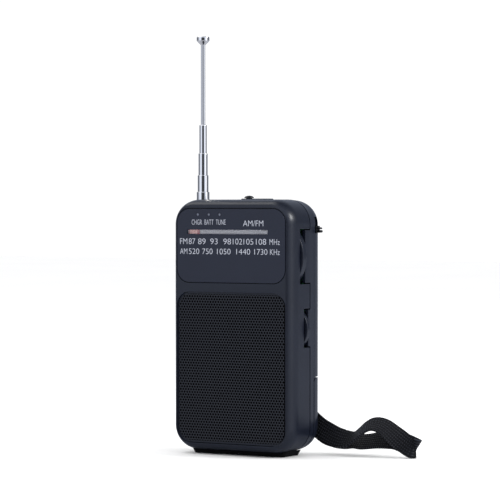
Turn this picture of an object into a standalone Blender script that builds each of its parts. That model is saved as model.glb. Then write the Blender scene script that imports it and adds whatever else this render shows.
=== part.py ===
"""Transistor pocket radio with thumbwheels, a string-driven dial, a telescopic antenna and a wrist strap.

X is right, Y is back and Z is up; the origin is the centre of the foot pad's underside.
Sizes are in millimetres, and `place` turns every finished shape into metres.
"""
from math import atan2, cos, pi, radians, sin

import bmesh
import bpy
from mathutils import Vector

MM = 0.001
GAP = 0.3  # between pieces that touch
PAST = 1.0  # how far a cutter reaches past the face it cuts
FAR = 50.0  # beyond the case on any side
SHARP_DEGREES = 35

# Case
HALF_WIDTH = 34.0
FRONT_Y = -14.5
REAR_Y = 14.5
BASE_Z = 2.0
TOP_Z = 124.0
CORNER_RADIUS = 12.0
FRONT_FILLET = (3.5, 7.5)  # inwards and backwards
REAR_FILLET = (2.5, 7.0)  # inwards and forwards
INNER_FRONT_FILLET = (1.7, 3.4)
INNER_REAR_FILLET = (1.6, 5.0)
REAR_DRAFT = 0.3
WALL = 1.8
FRONT_WALL = 2.2
CORNER_STEPS = 6
INNER_FRONT = FRONT_Y + FRONT_WALL
INNER_REAR = REAR_Y - WALL
PARTING_Y = 3.6

# Battery door
DOOR_EDGE_Y = 7.85
DOOR_TOP = 38.0
DOOR_CORNER = 2.5
GRIP_HALF_LENGTH = 7.0
GRIP_DEPTH = 0.7
GRIP_WIDTH = 0.9
GRIP_Z = (31.0, 33.0, 35.0)

# Foot pad: height, half length, half depth of each ring from the floor up
PAD_RINGS = ((0.0, 25.2, 7.4), (0.5, 25.8, 7.7), (1.85, 27.0, 7.7))
PAD_CORNER = 1.5

# Dial
PANEL_HALF_WIDTH = 31.0
PANEL_LOW = 83.5
PANEL_HIGH = 119.7
PANEL_CORNER = 7.0
PANEL_RECESS = 1.1
PANEL_THICKNESS = 0.8
STRIP_LEFT = -24.8
STRIP_RIGHT = 21.0
STRIP_LOW = 107.3
STRIP_HIGH = 109.35
SCALE_OPENING_X = (-26.4, 22.4)
SCALE_OPENING_Z = (106.0, 112.2)
POINTER_LEFT = -26.0
POINTER_WIDTH = 7.0
POINTER_FRONT = -12.6
POINTER_REAR = -12.2
POINTER_TOP = 111.6
CLIP_WIDTH = 2.2
LED_X = {"led_charge": -18.8, "led_battery": -12.5, "led_tuning": -6.3}
LED_Z = 116.7
LED_LEAD_SPREAD = 0.7
LEAD_HALF_WIDTH = 0.25

# Grille and speaker
GRILLE_HALF_WIDTH = 30.6
GRILLE_LOW = 6.1
GRILLE_HIGH = 78.8
GRILLE_CORNER = 6.5
GRILLE_RECESS = 1.3
GRILLE_MARGIN = 0.7
SPEAKER_X = -2.0
SPEAKER_Z = 56.0
SPEAKER_RADIUS = 20.0
SPEAKER_RIB_HEIGHT = 1.5

# Tuning wheel, drum and cord
TUNING_RADIUS = 20.0
TUNING_X = HALF_WIDTH + 1.5 - TUNING_RADIUS
TUNING_Z = 96.5
TUNING_FRONT = -5.4
TUNING_REAR = -1.8
TUNING_SLOT_Y = (-5.84, -1.04)
TUNING_SLOT_Z = (83.4, 109.8)
DRUM_FRONT = -8.4
DRUM_CORD_RADIUS = 12.35
FLANGE_RADIUS = 12.75
CORD_Y = -7.2
CORD_RADIUS = 0.3
SHAFT_RADIUS = 3.0
GUIDE_X = -28.6
GUIDE_RADIUS = 1.4
GUIDE_CORD_RADIUS = GUIDE_RADIUS + CORD_RADIUS + 0.05

# Volume wheel
VOLUME_RADIUS = 11.5
VOLUME_X = HALF_WIDTH + 1.6 - VOLUME_RADIUS
VOLUME_Z = 61.7
VOLUME_FRONT = -1.5
VOLUME_REAR = 1.0
VOLUME_SLOT_Y = (-2.05, 1.73)
VOLUME_SLOT_Z = (52.8, 71.5)

# Circuit board
BOARD_FRONT = 1.4
BOARD_REAR = 3.0

# Slide switches
SWITCH_RIM_X = (-1.7, 13.9)
SWITCH_RIM_Y = (-2.4, 3.2)
SWITCH_RIM_HEIGHT = 0.45
TOP_SLOT_X = (-1.0, 13.2)
TOP_SLOT_Y = (-1.3, 2.3)
TOP_KNOB_X = 1.35
TOP_KNOB_Y = 0.5
SIDE_KNOB_Y = 11.2
SIDE_SLOT_Y = (9.2, 13.2)
SIDE_SLOT_Z = (107.75, 115.6)

# Sockets in the left wall
JACK_Y = -2.2
JACK_Z = 73.0
JACK_HOLE_RADIUS = 1.9
JACK_BORE_RADIUS = 1.75
PORT_Y = (-4.9, 0.1)
PORT_Z = (59.4, 62.0)

# Antenna: outer radius, wall, visible top of each section
ANTENNA_X = -28.2
ANTENNA_Y = 5.0
ANTENNA_BOTTOM = 64.0
ANTENNA_TUBES = (
    ("antenna_base_tube", 3.2, 0.3, 127.8),
    ("antenna_section_1", 2.7, 0.2, 136.0),
    ("antenna_section_2", 2.3, 0.25, 146.8),
    ("antenna_section_3", 1.85, 0.5, 160.9),
)
SECTION_LENGTH = 62.0
ROD_RADIUS = 1.1
ROD_TOP = 200.2
TIP_RADIUS = 3.2
TIP_TOP = 204.4

# Batteries, two AA cells
CELL_RADIUS = 7.25
CELL_LENGTH = 50.0
CELL_Y = 5.2
CELL_Z = (12.6, 28.3)
CONTACT_THICKNESS = 0.5
CONTACT_Y = (1.0, 9.4)
SPRING_WIDE = 4.2
SPRING_NARROW = 2.2
SPRING_LENGTH = 2.5
SPRING_TURNS = 2.6
SPRING_WIRE = 0.3

# Fasteners
SCREW_PLACES = ((-20.6, 85.0), (25.1, 118.0), (-28.0, 43.2), (28.0, 43.2))
BOSS_RADIUS = 3.2
BOSS_BORE = 1.5
HEAD_SEAT = 2.6
SEAT_Y = 10.6
BOSS_STEPS = 14
DRILL_FRONT = -9.0

# Strap bar and strap
BAR_X = -20.0
BAR_Z = (40.6, 53.4)
POCKET_X = (-24.6, -12.5)
BAR_Y = 12.2
BAR_RADIUS = 1.1
STRAP_WIDTH = 10.0
STRAP_THICKNESS = 1.2
STRAP_STEPS = 2

COLOURS = {
    "case": ((0.040, 0.045, 0.062), 0.45, 0.0),
    "panel": ((0.035, 0.040, 0.055), 0.30, 0.0),
    "black": ((0.008, 0.008, 0.010), 0.35, 0.0),
    "lens": ((0.75, 0.78, 0.80), 0.10, 0.0),
    "scale": ((0.45, 0.45, 0.52), 0.50, 0.0),
    "red": ((0.75, 0.05, 0.08), 0.35, 0.0),
    "mesh": ((0.035, 0.037, 0.045), 0.40, 0.9),
    "chrome": ((0.80, 0.81, 0.83), 0.08, 1.0),
    "steel": ((0.55, 0.55, 0.56), 0.35, 1.0),
    "copper": ((0.70, 0.30, 0.14), 0.35, 1.0),
    "board": ((0.05, 0.22, 0.10), 0.45, 0.0),
    "ferrite": ((0.03, 0.03, 0.03), 0.60, 0.0),
    "paper": ((0.02, 0.02, 0.02), 0.90, 0.0),
    "rubber": ((0.010, 0.010, 0.011), 0.80, 0.0),
    "webbing": ((0.012, 0.012, 0.015), 0.85, 0.0),
    "cell": ((0.10, 0.22, 0.42), 0.35, 0.0),
    "cord": ((0.70, 0.68, 0.62), 0.80, 0.0),
    "wire_red": ((0.45, 0.03, 0.03), 0.45, 0.0),
    "wire_black": ((0.01, 0.01, 0.01), 0.45, 0.0),
}


def clear_scene():
    for obj in list(bpy.data.objects):
        bpy.data.objects.remove(obj, do_unlink=True)


def material(name):
    made = bpy.data.materials.get(name)
    if made:
        return made
    colour, roughness, metallic = COLOURS[name]
    made = bpy.data.materials.new(name)
    made.use_nodes = True
    shader = made.node_tree.nodes["Principled BSDF"]
    shader.inputs["Base Color"].default_value = (*colour, 1.0)
    shader.inputs["Roughness"].default_value = roughness
    shader.inputs["Metallic"].default_value = metallic
    return made


def link(obj, finish, at):
    obj.data.materials.append(material(finish))
    obj.location = Vector(at) * MM
    bpy.context.scene.collection.objects.link(obj)
    return obj


def place(name, bm, finish, at=(0, 0, 0)):
    """Make the object `name` of a shape in millimetres, with its origin at `at`."""
    bmesh.ops.scale(bm, vec=(MM, MM, MM), verts=bm.verts)
    bmesh.ops.recalc_face_normals(bm, faces=bm.faces)
    mesh = bpy.data.meshes.new(name)
    bm.to_mesh(mesh)
    bm.free()
    mesh.shade_smooth()
    mesh.set_sharp_from_angle(angle=radians(SHARP_DEGREES))
    return link(bpy.data.objects.new(name, mesh), finish, at)


def hide(obj):
    obj.hide_render = True
    obj.display_type = "WIRE"
    return obj


def combine(target, other, operation):
    modifier = target.modifiers.new(f"{operation.lower()}_{other.name}", "BOOLEAN")
    modifier.operation = operation
    modifier.solver = "EXACT"
    modifier.object = hide(other)


def cut(target, *cutters):
    for cutter in cutters:
        combine(target, cutter, "DIFFERENCE")
    return target


def join(target, *others):
    for other in others:
        combine(target, other, "UNION")
    return target


def box(low, high):
    bm = bmesh.new()
    bmesh.ops.create_cube(bm, size=1)
    low, high = Vector(low), Vector(high)
    bmesh.ops.scale(bm, vec=high - low, verts=bm.verts)
    bmesh.ops.translate(bm, vec=(low + high) / 2, verts=bm.verts)
    return bm


def bevelled_box(low, high, width, segments=2):
    bm = box(low, high)
    bmesh.ops.bevel(
        bm, geom=bm.edges[:], offset=width, segments=segments, profile=0.5, affect="EDGES", material=-1
    )
    return bm


def turned(profile, axis, steps=20):
    """Spin a closed outline of (radius, distance along the axis) points round `axis` through the origin."""
    bm = bmesh.new()
    verts = [bm.verts.new((radius, 0, along)) for radius, along in profile]
    closed = min(radius for radius, _ in profile) > 0
    pairs = list(zip(verts, verts[1:] + verts[:1])) if closed else list(zip(verts, verts[1:]))
    edges = [bm.edges.new(pair) for pair in pairs]
    bmesh.ops.spin(
        bm, geom=verts + edges, cent=(0, 0, 0), axis=(0, 0, 1), angle=2 * pi, steps=steps, use_merge=True
    )
    bmesh.ops.remove_doubles(bm, verts=bm.verts, dist=1e-4)
    turn = Vector((0, 0, 1)).rotation_difference(Vector(axis)).to_matrix()
    bmesh.ops.rotate(bm, cent=(0, 0, 0), matrix=turn, verts=bm.verts)
    return bm


def rod(radius, low, high, axis, steps=20):
    return turned([(0, low), (radius, low), (radius, high), (0, high)], axis, steps)


def tube(radius, bore, low, high, axis, steps=20):
    return turned([(bore, low), (radius, low), (radius, high), (bore, high)], axis, steps)


def rounded_outline(half_width, low, high, radius, steps=CORNER_STEPS):
    """Points (x, z) round a rectangle with round corners."""
    points = []
    for x, z, start in (
        (half_width - radius, low + radius, -90),
        (half_width - radius, high - radius, 0),
        (radius - half_width, high - radius, 90),
        (radius - half_width, low + radius, 180),
    ):
        for step in range(steps + 1):
            angle = radians(start + 90 * step / steps)
            points.append((x + radius * cos(angle), z + radius * sin(angle)))
    return points


def loft(rings):
    """A closed solid through rings of points, bridged in turn and filled at both ends."""
    bm = bmesh.new()
    loops = []
    for ring in rings:
        verts = [bm.verts.new(point) for point in ring]
        loops.append([bm.edges.new(pair) for pair in zip(verts, verts[1:] + verts[:1])])
    for first, second in zip(loops, loops[1:]):
        bmesh.ops.bridge_loops(bm, edges=first + second)
    for loop in (loops[0], loops[-1]):
        bmesh.ops.contextual_create(bm, geom=loop)
    return bm


def plate(outline, front, rear):
    """An (x, z) outline drawn out from y = front to y = rear."""
    return loft([[(x, y, z) for x, z in outline] for y in (front, rear)])


def case_rings(inset, front, rear, front_fillet, rear_fillet):
    """The case's rings from front to rear, each a rounded outline drawn in by the fillets and the draft."""
    stations = []
    inwards, length = front_fillet
    for step in range(6):
        angle = radians(90 - 90 * step / 5)
        stations.append((front + length * (1 - sin(angle)), inwards * (1 - cos(angle))))
    stations.append((PARTING_Y, 0.0))
    inwards, length = rear_fillet
    for step in range(6):
        angle = radians(90 * step / 5)
        stations.append((rear - length * (1 - sin(angle)), REAR_DRAFT + inwards * (1 - cos(angle))))
    rings = []
    for y, extra in stations:
        away = inset + extra
        outline = rounded_outline(
            HALF_WIDTH - away, BASE_Z + away, TOP_Z - away, CORNER_RADIUS - away
        )
        rings.append([(x, y, z) for x, z in outline])
    return rings


def hollow_case(name):
    """The whole case as a sealed hollow, which each moulding is then cut from."""
    outer = place(name, loft(case_rings(0, FRONT_Y, REAR_Y, FRONT_FILLET, REAR_FILLET)), "case")
    inner = loft(
        case_rings(WALL, INNER_FRONT, INNER_REAR, INNER_FRONT_FILLET, INNER_REAR_FILLET)
    )
    return cut(outer, place(f"{name}_hollow", inner, "case"))


def side_profile(points, half_width):
    """A (y, z) outline drawn out across the case's width."""
    return loft([[(x, y, z) for y, z in points] for x in (-half_width, half_width)])


def door_outline(clearance):
    """The battery door's side view: its front edge, a round top corner and its top edge."""
    edge = DOOR_EDGE_Y - clearance
    top = DOOR_TOP + clearance
    corner = [
        (edge + DOOR_CORNER * (1 - cos(radians(a))), top - DOOR_CORNER * (1 - sin(radians(a))))
        for a in range(0, 91, 18)
    ]
    return [(edge, -PAST)] + corner + [(REAR_Y + PAST, top), (REAR_Y + PAST, -PAST)]


def wheel_windows(name, clearance, into):
    """Boxes in the right wall that reach from each wheel slot's edge `into` back past the parting line."""
    made = []
    for label, slot_y, slot_z in (
        ("tuning", TUNING_SLOT_Y, TUNING_SLOT_Z),
        ("volume", VOLUME_SLOT_Y, VOLUME_SLOT_Z),
    ):
        bm = box(
            (HALF_WIDTH - WALL - PAST, slot_y[into], slot_z[0] - clearance),
            (HALF_WIDTH + PAST, PARTING_Y + PAST, slot_z[1] + clearance),
        )
        made.append(place(f"{name}_{label}_window", bm, "case"))
    return made


def speaker_hole():
    return place(
        "speaker_hole",
        rod(SPEAKER_RADIUS - 2.4, FRONT_Y - PAST, INNER_FRONT + PAST, (0, 1, 0)),
        "case",
        (SPEAKER_X, 0, SPEAKER_Z),
    )


def antenna_hole(name):
    bm = rod(ANTENNA_TUBES[0][1] + GAP, TOP_Z - 2 * CORNER_RADIUS, TOP_Z + PAST, (0, 0, 1))
    return place(name, bm, "case", (ANTENNA_X, ANTENNA_Y, 0))


def socket_holes():
    outside = -HALF_WIDTH - PAST
    inside = -HALF_WIDTH + WALL + PAST
    jack = rod(JACK_HOLE_RADIUS, outside, inside, (1, 0, 0))
    port = box((outside, PORT_Y[0], PORT_Z[0]), (inside, PORT_Y[1], PORT_Z[1]))
    return (
        place("jack_hole", jack, "case", (0, JACK_Y, JACK_Z)),
        place("port_hole", port, "case"),
    )


def front_shell():
    shell = hollow_case("front_shell")
    behind = box((-FAR, PARTING_Y - GAP / 2, -FAR), (FAR, FAR, TOP_Z + FAR))
    grille = rounded_outline(GRILLE_HALF_WIDTH, GRILLE_LOW, GRILLE_HIGH, GRILLE_CORNER)
    panel = rounded_outline(PANEL_HALF_WIDTH, PANEL_LOW, PANEL_HIGH, PANEL_CORNER)
    rim = bevelled_box(
        (SWITCH_RIM_X[0], SWITCH_RIM_Y[0], TOP_Z - 0.5),
        (SWITCH_RIM_X[1], SWITCH_RIM_Y[1], TOP_Z + SWITCH_RIM_HEIGHT),
        0.35,
        1,
    )
    join(shell, place("switch_rim", rim, "case"))
    cut(
        shell,
        place("behind_parting", behind, "case"),
        place("grille_recess", plate(grille, FRONT_Y - PAST, FRONT_Y + GRILLE_RECESS), "case"),
        place("panel_recess", plate(panel, FRONT_Y - PAST, FRONT_Y + PANEL_RECESS), "case"),
        speaker_hole(),
        antenna_hole("front_antenna_hole"),
        *wheel_windows("front", 0, 0),
        *socket_holes(),
    )
    strip = box(
        (SCALE_OPENING_X[0], FRONT_Y, SCALE_OPENING_Z[0]),
        (SCALE_OPENING_X[1], INNER_FRONT + PAST, SCALE_OPENING_Z[1]),
    )
    slot = box(
        (TOP_SLOT_X[0], TOP_SLOT_Y[0], TOP_Z - WALL - PAST), (TOP_SLOT_X[1], TOP_SLOT_Y[1], TOP_Z + PAST)
    )
    cut(shell, place("strip_opening", strip, "case"), place("top_switch_slot", slot, "case"))
    for name, x in LED_X.items():
        hole = rod(0.9, FRONT_Y, INNER_FRONT + PAST, (0, 1, 0), 12)
        cut(shell, place(f"{name}_hole", hole, "case", (x, 0, LED_Z)))
    guide = rod(GUIDE_RADIUS, INNER_FRONT - 0.5, CORD_Y + 1.2, (0, 1, 0), 14)
    rib = tube(
        SPEAKER_RADIUS + 1.5,
        SPEAKER_RADIUS + 0.4,
        INNER_FRONT - 0.5,
        INNER_FRONT + SPEAKER_RIB_HEIGHT,
        (0, 1, 0),
    )
    join(
        shell,
        place("cord_guide", guide, "case", (GUIDE_X, 0, guide_z())),
        place("speaker_rib", rib, "case", (SPEAKER_X, 0, SPEAKER_Z)),
    )
    drill_end = PARTING_Y + PAST
    drill = [(0, DRILL_FRONT), (BOSS_BORE, DRILL_FRONT), (BOSS_BORE, drill_end), (0, drill_end)]
    for number, (x, z) in enumerate(SCREW_PLACES, 1):
        boss = rod(BOSS_RADIUS, INNER_FRONT - 0.4, PARTING_Y - GAP, (0, 1, 0), BOSS_STEPS)
        join(shell, place(f"front_boss_{number}", boss, "case", (x, 0, z)))
        bore = turned(drill, (0, 1, 0), BOSS_STEPS)
        cut(shell, place(f"front_drill_{number}", bore, "case", (x, 0, z)))
    return shell


def battery_tray():
    """The wall in front of the cells and the shelf above them."""
    wall = rounded_outline(HALF_WIDTH - WALL - 0.6, BASE_Z + WALL + 0.6, 39.5, 9.6, 6)
    shelf = box((-31.0, -3.0, 38.3), (31.0, INNER_REAR + 0.5, 39.5))
    return (
        place("tray_wall", plate(wall, -3.4, -2.4), "case"),
        place("tray_shelf", shelf, "case"),
    )


def rear_shell():
    shell = hollow_case("rear_shell")
    before = box((-FAR, -FAR, -FAR), (FAR, PARTING_Y + GAP / 2, TOP_Z + FAR))
    kept_tongues = wheel_windows("rear", -GAP, 1)
    cut(shell, cut(place("before_parting", before, "case"), *kept_tongues))
    join(shell, *battery_tray())
    floor_y = BAR_Y - 3.6
    strap_pocket = box((POCKET_X[0], floor_y, BAR_Z[0]), (POCKET_X[1], REAR_Y + PAST, BAR_Z[1]))
    pocket_wall = box(
        (POCKET_X[0] - 1.4, floor_y - 1.4, BAR_Z[0] - 0.9),
        (POCKET_X[1] + 1.4, INNER_REAR + 0.5, BAR_Z[1] + 1.4),
    )
    bar_hole = rod(BAR_RADIUS + 0.15, BAR_Z[0] - 0.6, BAR_Z[1] + 0.6, (0, 0, 1), 16)
    join(shell, place("strap_pocket_wall", pocket_wall, "case"))
    side_slot = box(
        (HALF_WIDTH - 6.0, SIDE_SLOT_Y[0], SIDE_SLOT_Z[0]),
        (HALF_WIDTH + PAST, SIDE_SLOT_Y[1], SIDE_SLOT_Z[1]),
    )
    cut(
        shell,
        place("door_opening", side_profile(door_outline(GAP / 2), FAR), "case"),
        place("strap_pocket", strap_pocket, "case"),
        place("strap_bar_hole", bar_hole, "case", (BAR_X, BAR_Y, 0)),
        place("side_switch_slot", side_slot, "case"),
        antenna_hole("rear_antenna_hole"),
    )
    start = 1.0
    end = REAR_Y + PAST
    drill = [
        (0, start), (BOSS_BORE, start), (BOSS_BORE, SEAT_Y),
        (HEAD_SEAT, SEAT_Y), (HEAD_SEAT, end), (0, end),
    ]
    for number, (x, z) in enumerate(SCREW_PLACES, 1):
        boss = rod(BOSS_RADIUS, PARTING_Y + GAP, INNER_REAR + 0.4, (0, 1, 0), BOSS_STEPS)
        join(shell, place(f"rear_boss_{number}", boss, "case", (x, 0, z)))
        cut(shell, place(f"rear_drill_{number}", turned(drill, (0, 1, 0), 12), "case", (x, 0, z)))
    return shell


def battery_door():
    door = hollow_case("battery_door")
    keep = place("door_region", side_profile(door_outline(-GAP / 2), FAR), "case")
    combine(door, keep, "INTERSECT")
    for number, z in enumerate(GRIP_Z, 1):
        groove = box(
            (-GRIP_HALF_LENGTH, REAR_Y - GRIP_DEPTH, z), (GRIP_HALF_LENGTH, REAR_Y + PAST, z + GRIP_WIDTH)
        )
        cut(door, place(f"door_grip_{number}", groove, "case"))
    return door


def foot_pad():
    """A stick-on pad with slanted ends."""
    rings = []
    for z, half_length, half_depth in PAD_RINGS:
        outline = rounded_outline(half_length, -half_depth, half_depth, PAD_CORNER, 3)
        rings.append([(x, y, z) for x, y in outline])
    return place("foot_pad", loft(rings), "rubber")


def dial_parts():
    panel = plate(
        rounded_outline(
            PANEL_HALF_WIDTH - GAP, PANEL_LOW + GAP, PANEL_HIGH - GAP, PANEL_CORNER - GAP
        ),
        FRONT_Y,
        FRONT_Y + PANEL_THICKNESS,
    )
    behind = FRONT_Y + PANEL_THICKNESS + PAST
    window = box((STRIP_LEFT, FRONT_Y - PAST, STRIP_LOW), (STRIP_RIGHT, behind, STRIP_HIGH))
    board = cut(place("dial_panel", panel, "panel"), place("panel_window", window, "panel"))
    for name, x in LED_X.items():
        hole = rod(0.75, FRONT_Y - PAST, behind, (0, 1, 0), 12)
        cut(board, place(f"{name}_panel_hole", hole, "panel", (x, 0, LED_Z)))
    place("dial_scale_plate", box((-27.0, -11.9, 105.4), (23.0, -11.3, 110.6)), "scale")


def dial_lens():
    """A clear bar that fills the panel's window, on a flange behind the panel."""
    flange = box((-26.0, -13.4, 106.4), (22.0, -12.9, 110.2))
    bar = box(
        (STRIP_LEFT + GAP, FRONT_Y + 0.2, STRIP_LOW + GAP), (STRIP_RIGHT - GAP, -13.3, STRIP_HIGH - GAP)
    )
    join(place("dial_lens", flange, "lens"), place("lens_bar", bar, "lens"))


def dial_pointer():
    """A red flag in front of the scale plate, hooked over its top edge and down to the cord."""
    left = -POINTER_WIDTH / 2
    hook = left + CLIP_WIDTH
    bridge_low = POINTER_TOP - 0.7
    clip_low = cord_top() + CORD_RADIUS + GAP
    flag = box((left, POINTER_FRONT, SCALE_OPENING_Z[0] + 0.4), (-left, POINTER_REAR, POINTER_TOP))
    bridge = box((left, POINTER_FRONT + 0.1, bridge_low), (hook, CORD_Y + 1.2, POINTER_TOP - 0.1))
    clip = box((left, CORD_Y - 1.2, clip_low), (hook, CORD_Y + 1.1, bridge_low + 0.3))
    at = (POINTER_LEFT - left, 0, 0)
    pointer = place("dial_pointer", flag, "red", at)
    join(pointer, place("pointer_bridge", bridge, "red", at), place("pointer_clip", clip, "red", at))


def cord_top():
    return TUNING_Z + DRUM_CORD_RADIUS


def guide_z():
    return cord_top() - GUIDE_CORD_RADIUS


def cord_route():
    """The endless cord: round the drum, straight along the dial, round the guide post and back."""
    drum = Vector((TUNING_X, TUNING_Z))
    guide = Vector((GUIDE_X, guide_z()))
    away = guide - drum
    top = pi / 2
    under = 2 * atan2(away.y, away.x) - top
    points = []
    for centre, radius, start, end, steps in (
        (drum, DRUM_CORD_RADIUS, under, under + (top + 2 * pi - under) % (2 * pi), 14),
        (guide, GUIDE_CORD_RADIUS, top, under, 6),
    ):
        for step in range(steps + 1):
            angle = start + (end - start) * step / steps
            points.append((centre.x + radius * cos(angle), CORD_Y, centre.y + radius * sin(angle)))
    return points


def line(name, points, radius, finish, cyclic=False, resolution=1):
    """A round cord or wire through `points`."""
    curve = bpy.data.curves.new(name, "CURVE")
    curve.dimensions = "3D"
    curve.bevel_depth = radius * MM
    curve.bevel_resolution = resolution
    curve.use_fill_caps = True
    spline = curve.splines.new("POLY")
    spline.points.add(len(points) - 1)
    for made, point in zip(spline.points, points):
        made.co = (*(Vector(point) * MM), 1.0)
    spline.use_cyclic_u = cyclic
    return link(bpy.data.objects.new(name, curve), finish, (0, 0, 0))


def led_lead(side):
    """One lead's three straight runs: back from the lens, down, and back to the board."""
    low = Vector((side - LEAD_HALF_WIDTH, 0, -LEAD_HALF_WIDTH))
    high = Vector((side + LEAD_HALF_WIDTH, 0, LEAD_HALF_WIDTH))
    rear, bend, drop = -1.2, -1.7, Vector((0, 0, -6.35))
    back = box(low + Vector((0, -5.2, 0)), high + Vector((0, rear, 0)))
    down = box(low + Vector((0, bend, 0)) + drop, high + Vector((0, rear, 0)))
    pin = box(low + Vector((0, bend, 0)) + drop, high + Vector((0, BOARD_FRONT - GAP, 0)) + drop)
    return {"back": back, "down": down, "pin": pin}


def leds():
    guide = place("led_light_guide", box((-20.6, -11.9, 115.6), (-4.5, -10.7, 117.8)), "lens")
    lens = [(0, -10.3), (1.0, -10.0), (1.5, -9.2), (1.5, -5.8), (1.9, -5.8), (1.9, -5.0), (0, -5.0)]
    for name, x in LED_X.items():
        at = (x, 0, LED_Z)
        prong = rod(0.55, FRONT_Y + 0.1, -11.5, (0, 1, 0), 12)
        join(guide, place(f"{name}_prong", prong, "lens", at))
        led = place(name, turned(lens, (0, 1, 0), 16), "lens", at)
        for side in (-LED_LEAD_SPREAD, LED_LEAD_SPREAD):
            label = "left" if side < 0 else "right"
            for run, bm in led_lead(side).items():
                join(led, place(f"{name}_{label}_{run}", bm, "steel", at))


def grille_parts():
    inset = GRILLE_MARGIN
    outline = rounded_outline(
        GRILLE_HALF_WIDTH - inset, GRILLE_LOW + inset, GRILLE_HIGH - inset, GRILLE_CORNER - inset
    )
    place("grille_mesh", plate(outline, FRONT_Y + 0.25, FRONT_Y + 0.75), "mesh")
    place("grille_felt", plate(outline, FRONT_Y + 0.9, FRONT_Y + 1.15), "paper")


def speaker_parts():
    at = (SPEAKER_X, 0, SPEAKER_Z)
    r = SPEAKER_RADIUS
    basket = [
        (r, -12.0), (r, -10.9), (r - 1.4, -10.9), (11.6, -4.9), (11.6, -4.1),
        (5.0, -4.1), (5.0, -5.0), (10.8, -5.0), (r - 2.2, -11.2), (r - 2.2, -12.0),
    ]
    place("speaker_basket", turned(basket, (0, 1, 0)), "steel", at)
    cone = [
        (0, -9.2), (3.0, -8.7), (4.6, -7.6), (r - 4.6, -11.3), (r - 3.6, -11.9),
        (r - 2.6, -11.5), (r - 3.4, -11.3), (r - 4.6, -10.7), (4.6, -6.8), (4.6, -4.4), (0, -4.4),
    ]
    place("speaker_cone", turned(cone, (0, 1, 0)), "paper", at)
    magnet = [(0, -3.8), (10.5, -3.8), (11.0, -3.3), (11.0, -0.4), (10.5, 0.1), (0, 0.1)]
    place("speaker_magnet", turned(magnet, (0, 1, 0)), "ferrite", at)


def board():
    outline = [
        (-22.5, 48.0), (24.3, 48.0), (31.0, 50.0), (31.0, 111.2), (-20.5, 111.2), (-20.5, 92.0),
        (-16.5, 92.0), (-16.5, 79.0), (-22.5, 79.0),
    ]
    made = place("circuit_board", plate(outline, BOARD_FRONT, BOARD_REAR), "board")
    for name, x, z, radius in (
        ("tuning", TUNING_X, TUNING_Z, SHAFT_RADIUS + 0.8),
        ("volume", VOLUME_X, VOLUME_Z, 2.6),
    ):
        hole = rod(radius, BOARD_FRONT - PAST, BOARD_REAR + PAST, (0, 1, 0), 14)
        cut(made, place(f"board_{name}_hole", hole, "board", (x, 0, z)))
    place("audio_chip", bevelled_box((-16, BOARD_REAR + 0.15, 84), (-6, 6.0, 91), 0.3, 1), "black")
    place("tuner_chip", bevelled_box((-8, BOARD_REAR + 0.15, 68), (4, 6.4, 76), 0.3, 1), "black")
    can = [(0, 3.2), (3.1, 3.2), (3.1, 9.6), (2.7, 10.0), (0, 10.0)]
    place("electrolytic_capacitor", turned(can, (0, 1, 0), 14), "steel", (10.5, 0, 68.0))
    place("intermediate_coil_can", bevelled_box((-17, 3.15, 70), (-10, 10.2, 77), 0.4, 1), "steel")


def tuning_parts():
    at = (TUNING_X, 0, TUNING_Z)
    bore = SHAFT_RADIUS + 0.1
    groove = DRUM_CORD_RADIUS - CORD_RADIUS - 0.1
    rim = TUNING_RADIUS - 2.0
    web = TUNING_FRONT + 0.9
    wheel = [
        (bore, DRUM_FRONT), (FLANGE_RADIUS, DRUM_FRONT), (FLANGE_RADIUS, CORD_Y - 0.5),
        (groove, CORD_Y - 0.4), (groove, CORD_Y + 0.4), (FLANGE_RADIUS, CORD_Y + 0.5),
        (FLANGE_RADIUS, web), (rim, web), (rim, TUNING_FRONT), (TUNING_RADIUS - 0.4, TUNING_FRONT),
        (TUNING_RADIUS, TUNING_FRONT + 0.4), (TUNING_RADIUS, TUNING_REAR - 0.4),
        (TUNING_RADIUS - 0.4, TUNING_REAR), (bore, TUNING_REAR),
    ]
    place("tuning_wheel", turned(wheel, (0, 1, 0), 40), "case", at)
    shaft = [(0, -3.0), (1.3, -3.0), (1.3, -8.2), (SHAFT_RADIUS, -8.2), (SHAFT_RADIUS, 6.0), (0, 6.0)]
    place("tuning_shaft", turned(shaft, (0, 1, 0), 24), "steel", at)
    screw = [(0, -9.9), (2.6, -9.9), (4.0, -9.3), (4.0, -8.7), (1.1, -8.7), (1.1, -3.4), (0, -3.4)]
    place("tuning_wheel_screw", turned(screw, (0, 1, 0), 14), "steel", at)
    capacitor = bevelled_box((-9.5, 3.2, -9.5), (9.5, 12.3, 9.5), 0.6, 1)
    body = place("tuning_capacitor", capacitor, "lens", at)
    hole = rod(bore, 2.0, 6.4, (0, 1, 0), 24)
    cut(body, place("capacitor_shaft_hole", hole, "lens", at))


def volume_parts():
    at = (VOLUME_X, 0, VOLUME_Z)
    r = VOLUME_RADIUS
    wheel = [
        (1.3, VOLUME_FRONT + 0.6), (r - 1.6, VOLUME_FRONT + 0.6), (r - 1.6, VOLUME_FRONT),
        (r - 0.3, VOLUME_FRONT), (r, VOLUME_FRONT + 0.3), (r, VOLUME_REAR - 0.3), (r - 0.3, VOLUME_REAR),
        (2.2, VOLUME_REAR), (2.2, 4.6), (1.3, 4.6),
    ]
    place("volume_wheel", turned(wheel, (0, 1, 0), 32), "case", at)
    screw = [(0, -2.2), (1.8, -2.2), (2.4, -1.7), (2.4, -1.2), (1.0, -1.2), (1.0, 4.0), (0, 4.0)]
    place("volume_wheel_screw", turned(screw, (0, 1, 0), 14), "steel", at)
    body = [(0, 5.0), (2.4, 5.0), (2.4, 3.2), (7.8, 3.2), (7.8, 7.2), (0, 7.2)]
    place("volume_potentiometer", turned(body, (0, 1, 0), 24), "steel", at)


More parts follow.
